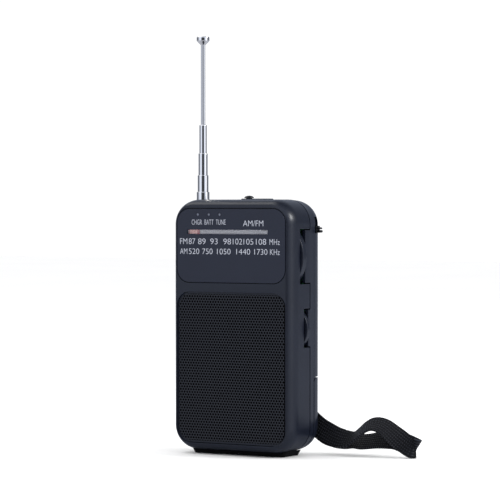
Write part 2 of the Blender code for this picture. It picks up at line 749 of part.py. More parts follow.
def ferrite_antenna():
    at = (-0.5, 7.6, 116.4)
    place("ferrite_rod", rod(3.3, -20.5, 20.5, (1, 0, 0), 24), "ferrite", at)
    place("antenna_coil", tube(4.6, 3.6, -17.0, -4.0, (1, 0, 0), 24), "copper", at)


def top_switch():
    stem, dome = 1.5, 2.35
    profile = [
        (0, -2.2), (stem, -2.2), (stem, 0.65), (dome, 0.65), (2.25, 1.0), (1.75, 1.5), (0.9, 1.8), (0, 1.9),
    ]
    place("top_slide_knob", turned(profile, (0, 0, 1), 24), "black", (TOP_KNOB_X, TOP_KNOB_Y, TOP_Z))
    place("top_switch_body", bevelled_box((-2.4, -1.4, 114.4), (14.6, 2.4, 121.5), 0.3, 1), "steel")


def side_switch():
    """A block low in its slot with two thin fins to push it by."""
    at = (0, SIDE_KNOB_Y, SIDE_SLOT_Z[0])
    block = bevelled_box((29.8, -1.7, 0.1), (HALF_WIDTH - 0.2, 1.7, 3.5), 0.3, 1)
    knob = place("side_slide_knob", block, "black", at)
    for label, z in (("lower", 0.7), ("upper", 3.0)):
        fin = bevelled_box((31.0, -1.6, z - 0.4), (HALF_WIDTH + 2.2, 1.0, z + 0.4), 0.25, 1)
        join(knob, place(f"{label}_fin", fin, "black", at))
    place("side_switch_body", bevelled_box((23.9, 8.9, 106.4), (29.4, 12.4, 114.6), 0.3, 1), "steel")


def sockets():
    at = (0, JACK_Y, JACK_Z)
    mouth = -HALF_WIDTH + WALL + 0.2
    jack = place("earphone_jack", rod(2.9, mouth, -18.5, (1, 0, 0)), "black", at)
    bore = rod(JACK_BORE_RADIUS, mouth - PAST, -20.0, (1, 0, 0))
    cut(jack, place("jack_bore", bore, "black", at))
    shell = bevelled_box((mouth, -5.2, 58.9), (-25.0, 0.4, 62.5), 0.3, 1)
    port = place("charging_socket", shell, "steel")
    cut(port, place("port_bore", box((mouth - PAST, -4.6, 59.6), (-26.0, -0.2, 61.8)), "steel"))


def antenna():
    at = (ANTENNA_X, ANTENNA_Y, 0)
    for step, (name, radius, wall, top) in enumerate(ANTENNA_TUBES):
        low = top - SECTION_LENGTH if step else ANTENNA_BOTTOM
        place(name, tube(radius, radius - wall, low, top, (0, 0, 1), 16), "chrome", at)
    low = ROD_TOP - SECTION_LENGTH
    tip = [
        (0, low), (ROD_RADIUS, low), (ROD_RADIUS, ROD_TOP), (1.9, ROD_TOP + 0.6), (2.3, ROD_TOP + 1.5),
        (TIP_RADIUS, ROD_TOP + 1.9), (TIP_RADIUS, TIP_TOP - 0.6), (TIP_RADIUS - 0.6, TIP_TOP),
        (1.7, TIP_TOP), (1.3, TIP_TOP - 0.4), (0, TIP_TOP - 0.5),
    ]
    place("antenna_rod", turned(tip, (0, 0, 1), 16), "chrome", at)
    bracket = place("antenna_bracket", box((-31.5, 1.2, 67.0), (-22.9, 9.2, 68.2)), "steel")
    hole = rod(ANTENNA_TUBES[0][1] + 0.15, 60, 75, (0, 0, 1), 16)
    cut(bracket, place("bracket_hole", hole, "steel", at))


def cell(name, z, facing):
    """An AA cell lying across the case, its positive nub towards `facing`."""
    half = CELL_LENGTH / 2
    profile = [
        (0, -half), (CELL_RADIUS - 0.5, -half), (CELL_RADIUS, -half + 0.5), (CELL_RADIUS, half - 2.0),
        (CELL_RADIUS - 0.5, half - 1.5), (2.7, half - 1.4), (2.7, half), (0, half),
    ]
    place(name, turned(profile, (facing, 0, 0), 20), "cell", (0, CELL_Y, z))


def coil_spring(name, x, z, towards):
    """A conical spring from a contact plate to a cell's flat end."""
    steps = 24
    points = []
    for step in range(steps + 1):
        t = step / steps
        radius = SPRING_WIDE + (SPRING_NARROW - SPRING_WIDE) * t
        angle = 2 * pi * SPRING_TURNS * t
        along = x + towards * SPRING_LENGTH * t
        points.append((along, CELL_Y + radius * cos(angle), z + radius * sin(angle)))
    line(name, points, SPRING_WIRE, "steel")


def contact(name, x, low, high):
    """A flat contact plate on its edge, its left face at x."""
    plate_box = box((x, CONTACT_Y[0], low), (x + CONTACT_THICKNESS, CONTACT_Y[1], high))
    place(name, plate_box, "steel")


def battery_parts():
    low, high = CELL_Z
    cell("battery_cell_1", low, 1)
    cell("battery_cell_2", high, -1)
    edge = CELL_LENGTH / 2
    far = edge + 3.6
    contact("contact_bridge", -far - CONTACT_THICKNESS, 8.0, 33.0)
    contact("contact_positive", edge + GAP, 8.6, 17.0)
    contact("contact_negative", far, 22.0, 33.0)
    coil_spring("battery_spring_1", -far + 0.5, low, 1)
    coil_spring("battery_spring_2", far - 0.5, high, -1)


def case_screws():
    profile = [(0, -8.0), (1.2, -8.0), (1.2, 10.9), (2.3, 10.9), (2.3, 11.9), (1.9, 12.5), (0, 12.5)]
    for number, (x, z) in enumerate(SCREW_PLACES, 1):
        place(f"case_screw_{number}", turned(profile, (0, 1, 0), 12), "steel", (x, 0, z))


def wires():
    """The speaker's two leads, from its tags to the circuit board's front."""
    for colour, start, out, low in (("red", 6.0, 16.6, 45.2), ("black", 2.5, 19.0, 42.0)):
        points = [
            (start, -6.9, low - 1.2), (start + 4.5, -5.2, low - 1.0), (out - 1.5, -2.6, low),
            (out, -0.4, low + 3.0), (out, 0.6, low + 6.0),
        ]
        line(f"speaker_wire_{colour}", smooth_route(points), 0.5, f"wire_{colour}")


def strap_bar():
    bar = rod(BAR_RADIUS, BAR_Z[0] - 0.5, BAR_Z[1] + 0.5, (0, 0, 1), 16)
    place("strap_bar", bar, "steel", (BAR_X, BAR_Y, 0))


# The strap's middle line as an endless ring: each place, then the way the webbing's width points there.
UPRIGHT = (0.0, 0.0, 1.0)
DRAPED = (0.5, 0.0, 0.86)
STRAP_RING = (
    ((-18.5, 10.8, 47.0), UPRIGHT),
    ((-16.8, 12.3, 47.0), UPRIGHT),
    ((-15.0, 13.9, 46.9), UPRIGHT),
    ((-12.4, 15.7, 46.2), (0.2, 0.0, 1.0)),
    ((-4.0, 15.9, 41.6), DRAPED),
    ((6.0, 15.9, 34.7), DRAPED),
    ((16.0, 15.9, 27.0), DRAPED),
    ((25.0, 16.1, 18.9), DRAPED),
    ((31.5, 16.5, 13.6), (0.3, 0.05, 0.9)),
    ((36.3, 16.8, 11.0), (0.15, 0.11, 1.0)),
    ((41.5, 17.2, 8.7), (0.1, 0.22, 1.0)),
    ((46.0, 17.7, 7.9), (-0.2, 0.67, 0.71)),
    ((49.7, 18.2, 9.1), (-0.4, 0.85, 0.35)),
    ((52.8, 18.6, 11.5), (-0.46, 0.84, 0.27)),
    ((56.2, 19.0, 14.2), (-0.49, 0.81, 0.32)),
    ((59.2, 19.6, 15.6), (-0.4, 0.79, 0.47)),
    ((62.4, 20.2, 15.6), (-0.27, 0.76, 0.59)),
    ((65.9, 20.8, 14.2), (-0.1, 0.72, 0.69)),
    ((70.4, 21.2, 10.9), (0.1, 0.6, 0.78)),
    ((76.0, 21.5, 7.1), (0.4, 0.27, 0.87)),
    ((80.0, 21.8, 4.9), (0.48, 0.3, 0.82)),
    ((81.4, 22.7, 4.7), (0.48, 0.2, 0.84)),
    ((80.0, 23.7, 5.1), (0.48, 0.2, 0.84)),
    ((74.4, 24.3, 6.9), (0.4, 0.26, 0.88)),
    ((68.8, 25.2, 8.3), (0.27, 0.19, 0.94)),
    ((63.9, 25.9, 8.2), (-0.15, 0.5, 0.85)),
    ((58.8, 26.3, 7.5), (-0.35, 0.65, 0.65)),
    ((53.7, 26.3, 6.6), (-0.4, 0.7, 0.58)),
    ((49.5, 25.8, 6.3), (-0.39, 0.68, 0.62)),
    ((45.7, 24.4, 7.0), (-0.3, 0.6, 0.72)),
    ((42.0, 22.2, 7.4), (-0.1, 0.4, 0.9)),
    ((37.9, 19.9, 8.4), (0.15, 0.15, 0.98)),
    ((33.5, 18.6, 10.4), (0.2, 0.1, 0.97)),
    ((26.0, 17.9, 16.8), DRAPED),
    ((16.0, 17.6, 27.0), DRAPED),
    ((6.0, 17.5, 34.7), DRAPED),
    ((-4.0, 17.5, 41.6), DRAPED),
    ((-11.6, 17.2, 45.8), (0.2, 0.0, 1.0)),
    ((-15.6, 15.9, 46.9), UPRIGHT),
    ((-18.5, 14.3, 47.0), UPRIGHT),
    ((-20.6, 14.2, 47.0), UPRIGHT),
    ((-21.8, 13.1, 47.0), UPRIGHT),
    ((-21.9, 11.5, 47.0), UPRIGHT),
    ((-20.6, 10.3, 47.0), UPRIGHT),
)


def between(before, a, b, after, t):
    """A point of the Catmull-Rom curve from `a` to `b`."""
    bend = 2 * before - 5 * a + 4 * b - after
    twist = 3 * a - before - 3 * b + after
    return 0.5 * (2 * a + (b - before) * t + bend * t**2 + twist * t**3)


def smooth_route(points, each=4):
    """The open curve through `points`, read at `each` places per stretch."""
    points = [Vector(point) for point in points]
    ends = [points[0]] + points + [points[-1]]
    route = [
        between(*ends[i : i + 4], step / each) for i in range(len(points) - 1) for step in range(each)
    ]
    return route + [points[-1]]


def smooth_ring(points, each):
    """The endless curve through `points`."""
    count = len(points)
    return [
        between(*(points[(i + k) % count] for k in (-1, 0, 1, 2)), step / each)
        for i in range(count)
        for step in range(each)
    ]


def wrist_strap():
    """Webbing sewn into a ring: it rides on the bar, hangs behind the case and lies out to the right."""
    middle = smooth_ring([Vector(spot) for spot, _ in STRAP_RING], STRAP_STEPS)
    widths = smooth_ring([Vector(width) for _, width in STRAP_RING], STRAP_STEPS)
    count = len(middle)
    bm = bmesh.new()
    loops = []
    for i in range(count):
        along = (middle[(i + 1) % count] - middle[i - 1]).normalized()
        across = (widths[i] - widths[i].dot(along) * along).normalized() * STRAP_WIDTH / 2
        through = along.cross(across).normalized() * STRAP_THICKNESS / 2
        corners = (across + through, through - across, -across - through, across - through)
        verts = [bm.verts.new(middle[i] + corner) for corner in corners]
        loops.append([bm.edges.new(pair) for pair in zip(verts, verts[1:] + verts[:1])])
    for i in range(count):
        bmesh.ops.bridge_loops(bm, edges=loops[i - 1] + loops[i])
    return place("wrist_strap", bm, "webbing")


def main():
    clear_scene()
    front_shell()
    rear_shell()
    battery_door()
    foot_pad()
    dial_parts()
    dial_lens()
    dial_pointer()
    line("dial_cord", cord_route(), CORD_RADIUS, "cord", cyclic=True)
    leds()
    grille_parts()
    speaker_parts()
    board()
    tuning_parts()
    volume_parts()
    ferrite_antenna()
    top_switch()
    side_switch()
    sockets()
    antenna()
    battery_parts()
    case_screws()
    wires()
    strap_bar()
    wrist_strap()


main()
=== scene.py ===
from math import cos, pi, radians, sin, sqrt

import bmesh
import bpy
from mathutils import Matrix, Vector


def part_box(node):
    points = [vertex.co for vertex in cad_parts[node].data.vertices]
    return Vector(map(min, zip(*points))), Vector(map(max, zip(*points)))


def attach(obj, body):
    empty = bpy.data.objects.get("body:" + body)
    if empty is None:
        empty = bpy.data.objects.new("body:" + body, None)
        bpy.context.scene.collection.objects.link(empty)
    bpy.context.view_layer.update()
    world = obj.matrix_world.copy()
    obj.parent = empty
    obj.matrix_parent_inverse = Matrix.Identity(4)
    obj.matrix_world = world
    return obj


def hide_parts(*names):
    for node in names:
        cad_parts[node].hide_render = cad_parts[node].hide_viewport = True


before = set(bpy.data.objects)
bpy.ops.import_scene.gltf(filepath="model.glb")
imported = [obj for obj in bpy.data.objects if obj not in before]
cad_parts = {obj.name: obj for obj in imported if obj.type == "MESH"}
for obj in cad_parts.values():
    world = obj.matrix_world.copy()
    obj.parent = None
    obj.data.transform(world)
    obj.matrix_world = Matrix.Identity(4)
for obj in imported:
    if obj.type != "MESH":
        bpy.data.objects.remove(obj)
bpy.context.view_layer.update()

# Sizes are in millimetres, and `raw` turns every finished shape into metres.
# X is right, Y is back and Z is up from the foot pad's underside.
MM = 0.001
GAP = 0.3  # between mouldings
PAST = 1.0  # how far a cutter reaches past the face it cuts
FAR = 60.0  # beyond the case on any side


def node_box(name):
    low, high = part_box(name)
    return low / MM, high / MM


FRONT_LOW, FRONT_HIGH = node_box("front_shell")
_, REAR_HIGH = node_box("rear_shell")
HALF_WIDTH = REAR_HIGH.x
FRONT_Y = FRONT_LOW.y
REAR_Y = REAR_HIGH.y
BASE_Z = FRONT_LOW.z
TOP_Z = REAR_HIGH.z
CORNER_RADIUS = 12.0
FRONT_FILLET = (3.5, 7.5)  # inwards and backwards
REAR_FILLET = (2.5, 7.0)  # inwards and forwards
INNER_FRONT_FILLET = (1.7, 3.4)
INNER_REAR_FILLET = (1.6, 5.0)
REAR_DRAFT = 0.3
WALL = 1.8
FRONT_WALL = 2.2
INNER_REAR = REAR_Y - WALL
PARTING_Y = 3.6
SOFT_EDGE = 0.16
CASE_BREAK = 0.25  # the front shell's soft edge
SEAM = 0.25  # half the parting line's width
DOOR_SEAM = 0.22  # half the seam round the battery door
TONGUE_INSET = 0.95
TONGUE_THICKNESS = 0.75
TONGUE_LENGTH = 1.2
TONGUE_FIT = (0.15, 0.3)  # the rebate's play round the tongue: sideways and lengthways

DOOR_EDGE_Y = 7.85
DOOR_TOP = 38.0
DOOR_CORNER = 2.5
DOOR_LIP_INSET = 2.45
DOOR_LIP_THICKNESS = 0.7
DOOR_LIP_REACH = (1.2, 0.8)  # past the door's front edge and above its top edge
FOOT_TAPER = (0.94, 0.97, 1.0)
GRIP_Z = (31.0, 33.0, 35.0)
GRIP_HALF_WIDTH = 7.0
GRIP_HEIGHT = 0.9
GRIP_DEPTH = 0.7
TRAY_LOW = (-31.6, -3.4, 4.4)
TRAY_HIGH = (31.6, -2.4, 39.5)
TRAY_CORNER = 9.6
TRAY_SHELF = (-3.0, 38.3)  # its front and its underside

PANEL_LOW, PANEL_HIGH = node_box("dial_panel")
PANEL_CORNER = 6.7
PANEL_RECESS = 1.1
STRIP_X = (-24.8, 21.0)
STRIP_Z = (107.3, 109.35)
SCALE_OPENING_X = (-26.4, 22.4)
SCALE_OPENING_Z = (106.0, 112.2)
POINTER_LEFT = -26.0
POINTER_RIGHT = -19.0
LED_X = (-18.8, -12.5, -6.3)
LED_Z = 116.7
LED_HOLE_RADIUS = 0.9
PRINT_HEIGHT = 0.018
LED_WINDOW_RADIUS = 0.75
# Where each colour starts up the pointer's height.
# The pale pink middle bands are a painted highlight; the red edges are the pointer's own colour.
POINTER_BANDS = (
    (0.0, "#a3333c"), (0.17, "#b8484e"), (0.24, "#f3b3ae"), (0.80, "#f3b3ae"), (0.87, "#b8484e"),
)

MESH_LOW, MESH_HIGH = node_box("grille_mesh")
MESH_CORNER = 5.8
MESH_MARGIN = 0.9
MESH_RECESS = 1.3
HOLE_PITCH = 1.5
HOLE_RADIUS = 0.55

TUNING_LOW, TUNING_HIGH = node_box("tuning_wheel")
TUNING_AT = (TUNING_LOW + TUNING_HIGH) / 2
TUNING_RADIUS = TUNING_HIGH.x - TUNING_AT.x
VOLUME_LOW, VOLUME_HIGH = node_box("volume_wheel")
VOLUME_AT = (VOLUME_LOW + VOLUME_HIGH) / 2
VOLUME_RADIUS = VOLUME_HIGH.x - VOLUME_AT.x
WHEEL_SLOTS = {  # y from front to rear, z from low to high
    "tuning": ((-5.84, -1.04), (83.4, 109.8)),
    "volume": ((-2.05, 1.73), (52.8, 71.5)),
}

SWITCH_RIM_X = (-1.7, 13.9)
SWITCH_RIM_Y = (-2.4, 3.2)
TOP_SLOT_X = (-1.0, 13.2)
TOP_SLOT_Y = (-1.3, 2.3)
SIDE_SLOT_Y = (9.2, 13.2)
SIDE_SLOT_Z = (107.75, 115.6)

DRUM_RADIUS = 12.75
HUB_BORE = 3.1
CORD_Y = -7.2
FIN_ROOT_X = 31.0  # where the side knob's fins start, inside the case
PHONE_AT = (0, -2.2, 73.0)
PHONE_HOLE_RADIUS = 1.9
PHONE_BORE_RADIUS = 1.75
PHONE_BORE_END = -20.0
PORT_Y = (-4.9, 0.1)
PORT_Z = (59.4, 62.0)

ANTENNA_AT = Vector((-28.2, 5.0, 0.0))
ANTENNA_HOLE_RADIUS = 3.5
SCREW_PLACES = ((-20.6, 85.0), (25.1, 118.0), (-28.0, 43.2), (28.0, 43.2))
BOSS_RADIUS = 3.2
HEAD_SEAT = 2.6
SEAT_Y = 10.6

BAR_AT = Vector((-20.0, 12.2, 0.0))
BAR_Z = (40.6, 53.4)
POCKET_X = (-24.6, -12.5)
POCKET_FLOOR = BAR_AT.y - 3.6
POCKET_WALL = 1.4
SLEEVE_BAND_X = 16.0  # where a cell's sleeve changes colour

# The camera and the lights stand in metres.
CAMERA_AT = (0.66223, -1.06654, 0.12052)
CAMERA_TARGET = (0.001227, 0.001499, 0.0994)
CAMERA_LENS = 185.6
CAMERA_SIDE = (0.527, -0.850, 0.0)  # the side that the camera stands on
LIGHTS_AIM_AT = (0.0, 0.0, 0.08)
LIGHTS = (  # name, place, width and height, watts
    ("overhead", (-0.60, 0.0, 1.05), (0.8, 0.8), 3.6),
    ("right_box", (0.95, 0.26, 0.62), (0.30, 0.30), 6.0),
    ("right_strip", (1.28, 0.26, 0.12), (0.18, 1.00), 0.7),
)
FLOOR_SIZE = 4000.0
WHITE = (1.06, 1.06, 1.06, 1.0)  # the room as the eye and the floor see it
COOL = (0.86, 0.95, 1.16)
# How bright the room is from behind the object (0) round to the camera (1), as glossy faces mirror it.
MIRRORED = (
    (0.0, 0.55), (0.12, 0.40), (0.28, 0.06), (0.50, 0.35), (0.70, 0.92), (0.90, 1.00),
    (0.955, 0.10), (1.0, 0.04),
)

STRAP_WIDTH = 10.0
STRAP_THICKNESS = 1.2
# Real threads are 0.5 mm apart; they are drawn more than 1 mm apart so that they show.
RIB_PITCH = 1.4
WEFT_PITCH = 1.15
WAVE_PERIOD = pi / 10  # of a wave texture at scale 1
UPRIGHT = (0.0, 0.0, 1.0)
DRAPED = (0.5, 0.0, 0.86)
# The strap's middle line as an endless ring: each place, then the way the webbing's width points there.
STRAP_RING = (
    ((-18.5, 10.8, 47.0), UPRIGHT),
    ((-16.8, 12.3, 47.0), UPRIGHT),
    ((-15.0, 13.9, 46.9), UPRIGHT),
    ((-12.4, 15.7, 46.2), (0.2, 0.0, 1.0)),
    ((-4.0, 15.9, 41.6), DRAPED),
    ((6.0, 15.9, 34.7), DRAPED),
    ((16.0, 15.9, 27.0), DRAPED),
    ((25.0, 16.1, 18.9), DRAPED),
    ((31.5, 16.5, 13.6), (0.3, 0.05, 0.9)),
    ((36.3, 16.8, 11.0), (0.15, 0.11, 1.0)),
    ((41.5, 17.2, 8.7), (0.1, 0.22, 1.0)),
    ((46.0, 17.7, 7.9), (-0.2, 0.67, 0.71)),
    ((49.7, 18.2, 9.1), (-0.4, 0.85, 0.35)),
    ((52.8, 18.6, 11.5), (-0.46, 0.84, 0.27)),
    ((56.2, 19.0, 14.2), (-0.49, 0.81, 0.32)),
    ((59.2, 19.6, 15.6), (-0.4, 0.79, 0.47)),
    ((62.4, 20.2, 15.6), (-0.27, 0.76, 0.59)),
    ((65.9, 20.8, 14.2), (-0.1, 0.72, 0.69)),
    ((70.4, 21.2, 10.9), (0.1, 0.6, 0.78)),
    ((76.0, 21.5, 7.1), (0.4, 0.27, 0.87)),
    ((80.0, 21.8, 4.9), (0.48, 0.3, 0.82)),
    ((81.4, 22.7, 4.7), (0.48, 0.2, 0.84)),
    ((80.0, 23.7, 5.1), (0.48, 0.2, 0.84)),
    ((74.4, 24.3, 6.9), (0.4, 0.26, 0.88)),
    ((68.8, 25.2, 8.3), (0.27, 0.19, 0.94)),
    ((63.9, 25.9, 8.2), (-0.15, 0.5, 0.85)),
    ((58.8, 26.3, 7.5), (-0.35, 0.65, 0.65)),
    ((53.7, 26.3, 6.6), (-0.4, 0.7, 0.58)),
    ((49.5, 25.8, 6.3), (-0.39, 0.68, 0.62)),
    ((45.7, 24.4, 7.0), (-0.3, 0.6, 0.72)),
    ((42.0, 22.2, 7.4), (-0.1, 0.4, 0.9)),
    ((37.9, 19.9, 8.4), (0.15, 0.15, 0.98)),
    ((33.5, 18.6, 10.4), (0.2, 0.1, 0.97)),
    ((26.0, 17.9, 16.8), DRAPED),
    ((16.0, 17.6, 27.0), DRAPED),
    ((6.0, 17.5, 34.7), DRAPED),
    ((-4.0, 17.5, 41.6), DRAPED),
    ((-11.6, 17.2, 45.8), (0.2, 0.0, 1.0)),
    ((-15.6, 15.9, 46.9), UPRIGHT),
    ((-18.5, 14.3, 47.0), UPRIGHT),
    ((-20.6, 14.2, 47.0), UPRIGHT),
    ((-21.8, 13.1, 47.0), UPRIGHT),
    ((-21.9, 11.5, 47.0), UPRIGHT),
    ((-20.6, 10.3, 47.0), UPRIGHT),
)

# Dial lettering: words, left, right, low and high edges on the panel.
LETTERING = (
    ("CHGR", -22.2, -16.3, 111.8, 114.25),
    ("BATT", -14.8, -9.65, 111.8, 114.25),
    ("TUNE", -8.3, -2.7, 111.8, 114.25),
    ("AM/FM", 7.2, 18.6, 111.1, 113.9),
    ("FM", -29.0, -24.8, 102.3, 105.1),
    ("87", -23.9, -20.2, 102.3, 105.1),
    ("89", -18.5, -14.2, 102.3, 105.1),
    ("93", -11.5, -7.3, 102.3, 105.1),
    ("98", -4.0, 0.35, 102.3, 105.1),
    ("102", 1.4, 6.7, 102.3, 105.1),
    ("105", 7.5, 13.0, 102.3, 105.1),
    ("108", 14.5, 20.2, 102.3, 105.1),
    ("MHz", 22.1, 27.8, 102.3, 105.0),
    ("AM", -29.0, -24.8, 97.5, 100.2),
    ("520", -23.9, -17.9, 97.5, 100.2),
    ("750", -16.1, -10.2, 97.5, 100.2),
    ("1050", -7.6, 0.1, 97.5, 100.2),
    ("1440", 3.4, 11.2, 97.5, 100.2),
    ("1730", 13.6, 20.9, 97.5, 100.2),
    ("KHz", 22.4, 27.8, 97.5, 100.2),
)


# ---------------------------------------------------------------- shapes


def raw(name, bm):
    """An object of a shape in millimetres, with its place in its mesh."""
    bmesh.ops.scale(bm, vec=(MM, MM, MM), verts=bm.verts)
    mesh = bpy.data.meshes.new(name)
    bm.to_mesh(mesh)
    bm.free()
    obj = bpy.data.objects.new(name, mesh)
    bpy.context.scene.collection.objects.link(obj)
    return obj


def settle(obj):
    """Replace the object's mesh by the one that its modifiers make."""
    bpy.context.view_layer.update()
    graph = bpy.context.evaluated_depsgraph_get()
    made = bpy.data.meshes.new_from_object(obj.evaluated_get(graph))
    obj.modifiers.clear()
    obj.data = made
    return obj


def combine(obj, other, operation):
    """Cut, join or intersect one object with another, which is used up."""
    modifier = obj.modifiers.new("carve", "BOOLEAN")
    modifier.operation = operation
    modifier.solver = "EXACT"
    modifier.object = other
    settle(obj)
    bpy.data.objects.remove(other)


def carve(obj, *cutters, operation="DIFFERENCE"):
    """Cut (or join, or keep the common part of) each shape, one after another."""
    for number, bm in enumerate(cutters):
        combine(obj, raw(f"{obj.name}_cutter_{number}", bm), operation)
    return obj


def soften(obj, width=SOFT_EDGE, segments=2):
    """Break the sharp edges as a mould does."""
    bevel = obj.modifiers.new("edge", "BEVEL")
    bevel.width = width * MM
    bevel.segments = segments
    bevel.limit_method = "ANGLE"
    bevel.angle_limit = radians(40)
    bevel.use_clamp_overlap = False
    settle(obj)
    return obj


def piece(obj, look, body, nodes=(), smooth=35):
    """Shade and colour a finished object, hide the parts that it replaces and attach it to its body."""
    obj.data.materials.clear()
    obj.data.materials.append(look)
    obj.data.shade_smooth()
    obj.data.set_sharp_from_angle(angle=radians(smooth))
    weighted = obj.modifiers.new("flat faces", "WEIGHTED_NORMAL")
    weighted.keep_sharp = True
    settle(obj)
    if nodes:
        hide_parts(*nodes)
    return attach(obj, body)


def bevel(bm, edges, width, segments):
    bmesh.ops.bevel(
        bm, geom=edges, offset=width, segments=segments, profile=0.5, affect="EDGES", material=-1,
        offset_type="OFFSET", clamp_overlap=True,
    )


def along(bm, axis):
    """The edges that run along one axis."""
    others = [i for i in range(3) if i != axis]
    return [
        edge for edge in bm.edges
        if all(abs(edge.verts[0].co[i] - edge.verts[1].co[i]) < 1e-4 for i in others)
    ]


def at_level(bm, axis, level):
    """The edges that lie at one height on an axis."""
    return [edge for edge in bm.edges if all(abs(v.co[axis] - level) < 1e-3 for v in edge.verts)]


def box(low, high, edge=0.0, segments=2):
    bm = bmesh.new()
    bmesh.ops.create_cube(bm, size=1)
    low, high = Vector(low), Vector(high)
    bmesh.ops.scale(bm, vec=high - low, verts=bm.verts)
    bmesh.ops.translate(bm, vec=(low + high) / 2, verts=bm.verts)
    if edge:
        bevel(bm, bm.edges[:], edge, segments)
    return bm


def pillow(low, high, corner, front_roll=(0.0, 0.0), rear_roll=(0.0, 0.0), steps=16, edge_steps=8):
    """A block with round upright corners seen from the front, and rolled front and rear edges."""
    bm = box(low, high)
    bevel(bm, along(bm, 1), corner, steps)
    for level, side, (inwards, length) in ((low[1], 1, front_roll), (high[1], -1, rear_roll)):
        if inwards:
            bevel(bm, at_level(bm, 1, level), inwards, edge_steps)
            rolled = [v for v in bm.verts if (v.co.y - level) * side < inwards + 1e-3]
            stretch = Matrix.Translation((0, -level, 0))
            bmesh.ops.scale(bm, vec=(1, length / inwards, 1), space=stretch, verts=rolled)
    return bm


def turned(profile, axis=(0, 0, 1), steps=48, at=(0, 0, 0)):
    """Spin an outline of (radius, distance along the axis) points; one that meets the axis closes there."""
    bm = bmesh.new()
    verts = [bm.verts.new((radius, 0, height)) for radius, height in profile]
    ring = min(radius for radius, _ in profile) > 0
    pairs = list(zip(verts, verts[1:]))
    if ring:
        pairs.append((verts[-1], verts[0]))
    edges = [bm.edges.new(pair) for pair in pairs]
    bmesh.ops.spin(
        bm, geom=verts + edges, cent=(0, 0, 0), axis=(0, 0, 1), angle=2 * pi, steps=steps, use_merge=True
    )
    bmesh.ops.remove_doubles(bm, verts=bm.verts, dist=1e-4)
    bmesh.ops.recalc_face_normals(bm, faces=bm.faces)
    turn = Vector((0, 0, 1)).rotation_difference(Vector(axis)).to_matrix()
    bmesh.ops.rotate(bm, cent=(0, 0, 0), matrix=turn, verts=bm.verts)
    bmesh.ops.translate(bm, vec=at, verts=bm.verts)
    return bm


def rod(radius, low, high, axis=(0, 0, 1), steps=32, at=(0, 0, 0)):
    return turned([(0, low), (radius, low), (radius, high), (0, high)], axis, steps, at)


def arc(centre, radius, start, end, steps=5):
    """Points of a round stretch of a profile, from one angle to another in degrees."""
    angles = [radians(start + (end - start) * step / steps) for step in range(steps + 1)]
    return [(centre[0] + radius * cos(a), centre[1] + radius * sin(a)) for a in angles]


# ---------------------------------------------------------------- materials


def hex_colour(code):
    """An sRGB hex code as the linear colour that the shader takes."""
    channels = [int(code[i : i + 2], 16) / 255 for i in (1, 3, 5)]
    return (*[c / 12.92 if c <= 0.04045 else ((c + 0.055) / 1.055) ** 2.4 for c in channels], 1.0)


def add(tree, kind, values=None, links=None, **settings):
    """Add one node with its settings, its inputs' values and the outputs linked to its inputs."""
    made = tree.nodes.new(f"ShaderNode{kind}")
    for name, value in settings.items():
        setattr(made, name, value)
    for name, value in (values or {}).items():
        made.inputs[name].default_value = value
    for name, output in (links or {}).items():
        tree.links.new(output, made.inputs[name])
    return made


def blank(name, **values):
    """A new material: itself, its node tree, its shader and its Object coordinates."""
    made = bpy.data.materials.new(name)
    made.use_nodes = True
    tree = made.node_tree
    shader = tree.nodes["Principled BSDF"]
    for key, value in values.items():
        shader.inputs[key.replace("_", " ").title().replace("Ior", "IOR")].default_value = value
    return made, tree, shader, add(tree, "TexCoord").outputs["Object"]


def vary(tree, shader, place, *layers):
    """Drive the shader's sockets between a low and a high value.

    What drives each is another node's output, or noise given as its size in millimetres and its detail. The
    Normal's values are heights in millimetres.
    """
    for socket, low, high, driver in layers:
        if isinstance(driver, tuple):
            size, detail = driver
            noise = add(tree, "TexNoise", {"Scale": 1 / (size * MM), "Detail": detail}, {"Vector": place})
            driver = noise.outputs["Fac"]
        if socket == "Base Color":
            colours = {6: hex_colour(low), 7: hex_colour(high)}
            result = add(tree, "Mix", colours, {0: driver}, data_type="RGBA").outputs[2]
        elif socket == "Normal":
            heights = {"Distance": (high - low) * MM, "Strength": 1.0}
            result = add(tree, "Bump", heights, {"Height": driver}).outputs["Normal"]
        else:
            ends = {"To Min": low, "To Max": high}
            result = add(tree, "MapRange", ends, {"Value": driver}).outputs["Result"]
        tree.links.new(result, shader.inputs[socket])


def finish(name, *layers, **values):
    """A new material whose layers follow its Object coordinates."""
    made, tree, shader, place = blank(name, **values)
    vary(tree, shader, place, *layers)
    return made


def moulded_abs():
    """ABS from a spark-eroded mould: a fine pebbled skin, and faint smudges where hands have held it."""
    return finish(
        "moulded_abs",
        ("Base Color", "#10141f", "#141926", (14.0, 2)),
        ("Roughness", 0.27, 0.36, (9.0, 3)),
        ("Normal", 0.0, 0.006, (0.45, 2)),
        specular_ior_level=0.42,
    )


def printed_panel_abs():
    """The dial panel's smoother ABS: a little glossier than the case."""
    return finish(
        "printed_panel_abs",
        ("Base Color", "#121625", "#161b2b", (18.0, 2)),
        ("Roughness", 0.28, 0.36, (6.0, 3)),
        ("Normal", 0.0, 0.002, (0.6, 2)),
        specular_ior_level=0.45,
    )


def gloss_black_abs():
    """Polished black ABS of the switch knobs: a sharp highlight, broken by hairline rubs."""
    return finish(
        "gloss_black_abs",
        ("Base Color", "#040405", "#09090b", (3.0, 2)),
        ("Roughness", 0.16, 0.28, (1.2, 4)),
        ("Normal", 0.0, 0.001, (0.3, 2)),
        specular_ior_level=0.35,
    )


def painted_mesh_steel():
    """Perforated steel sheet, sprayed black after punching: a low sheen with orange peel."""
    return finish(
        "painted_mesh_steel",
        ("Base Color", "#0b0d14", "#10131d", (5.0, 2)),
        ("Roughness", 0.34, 0.46, (2.5, 2)),
        ("Normal", 0.0, 0.004, (0.5, 2)),
        specular_ior_level=0.52,
    )


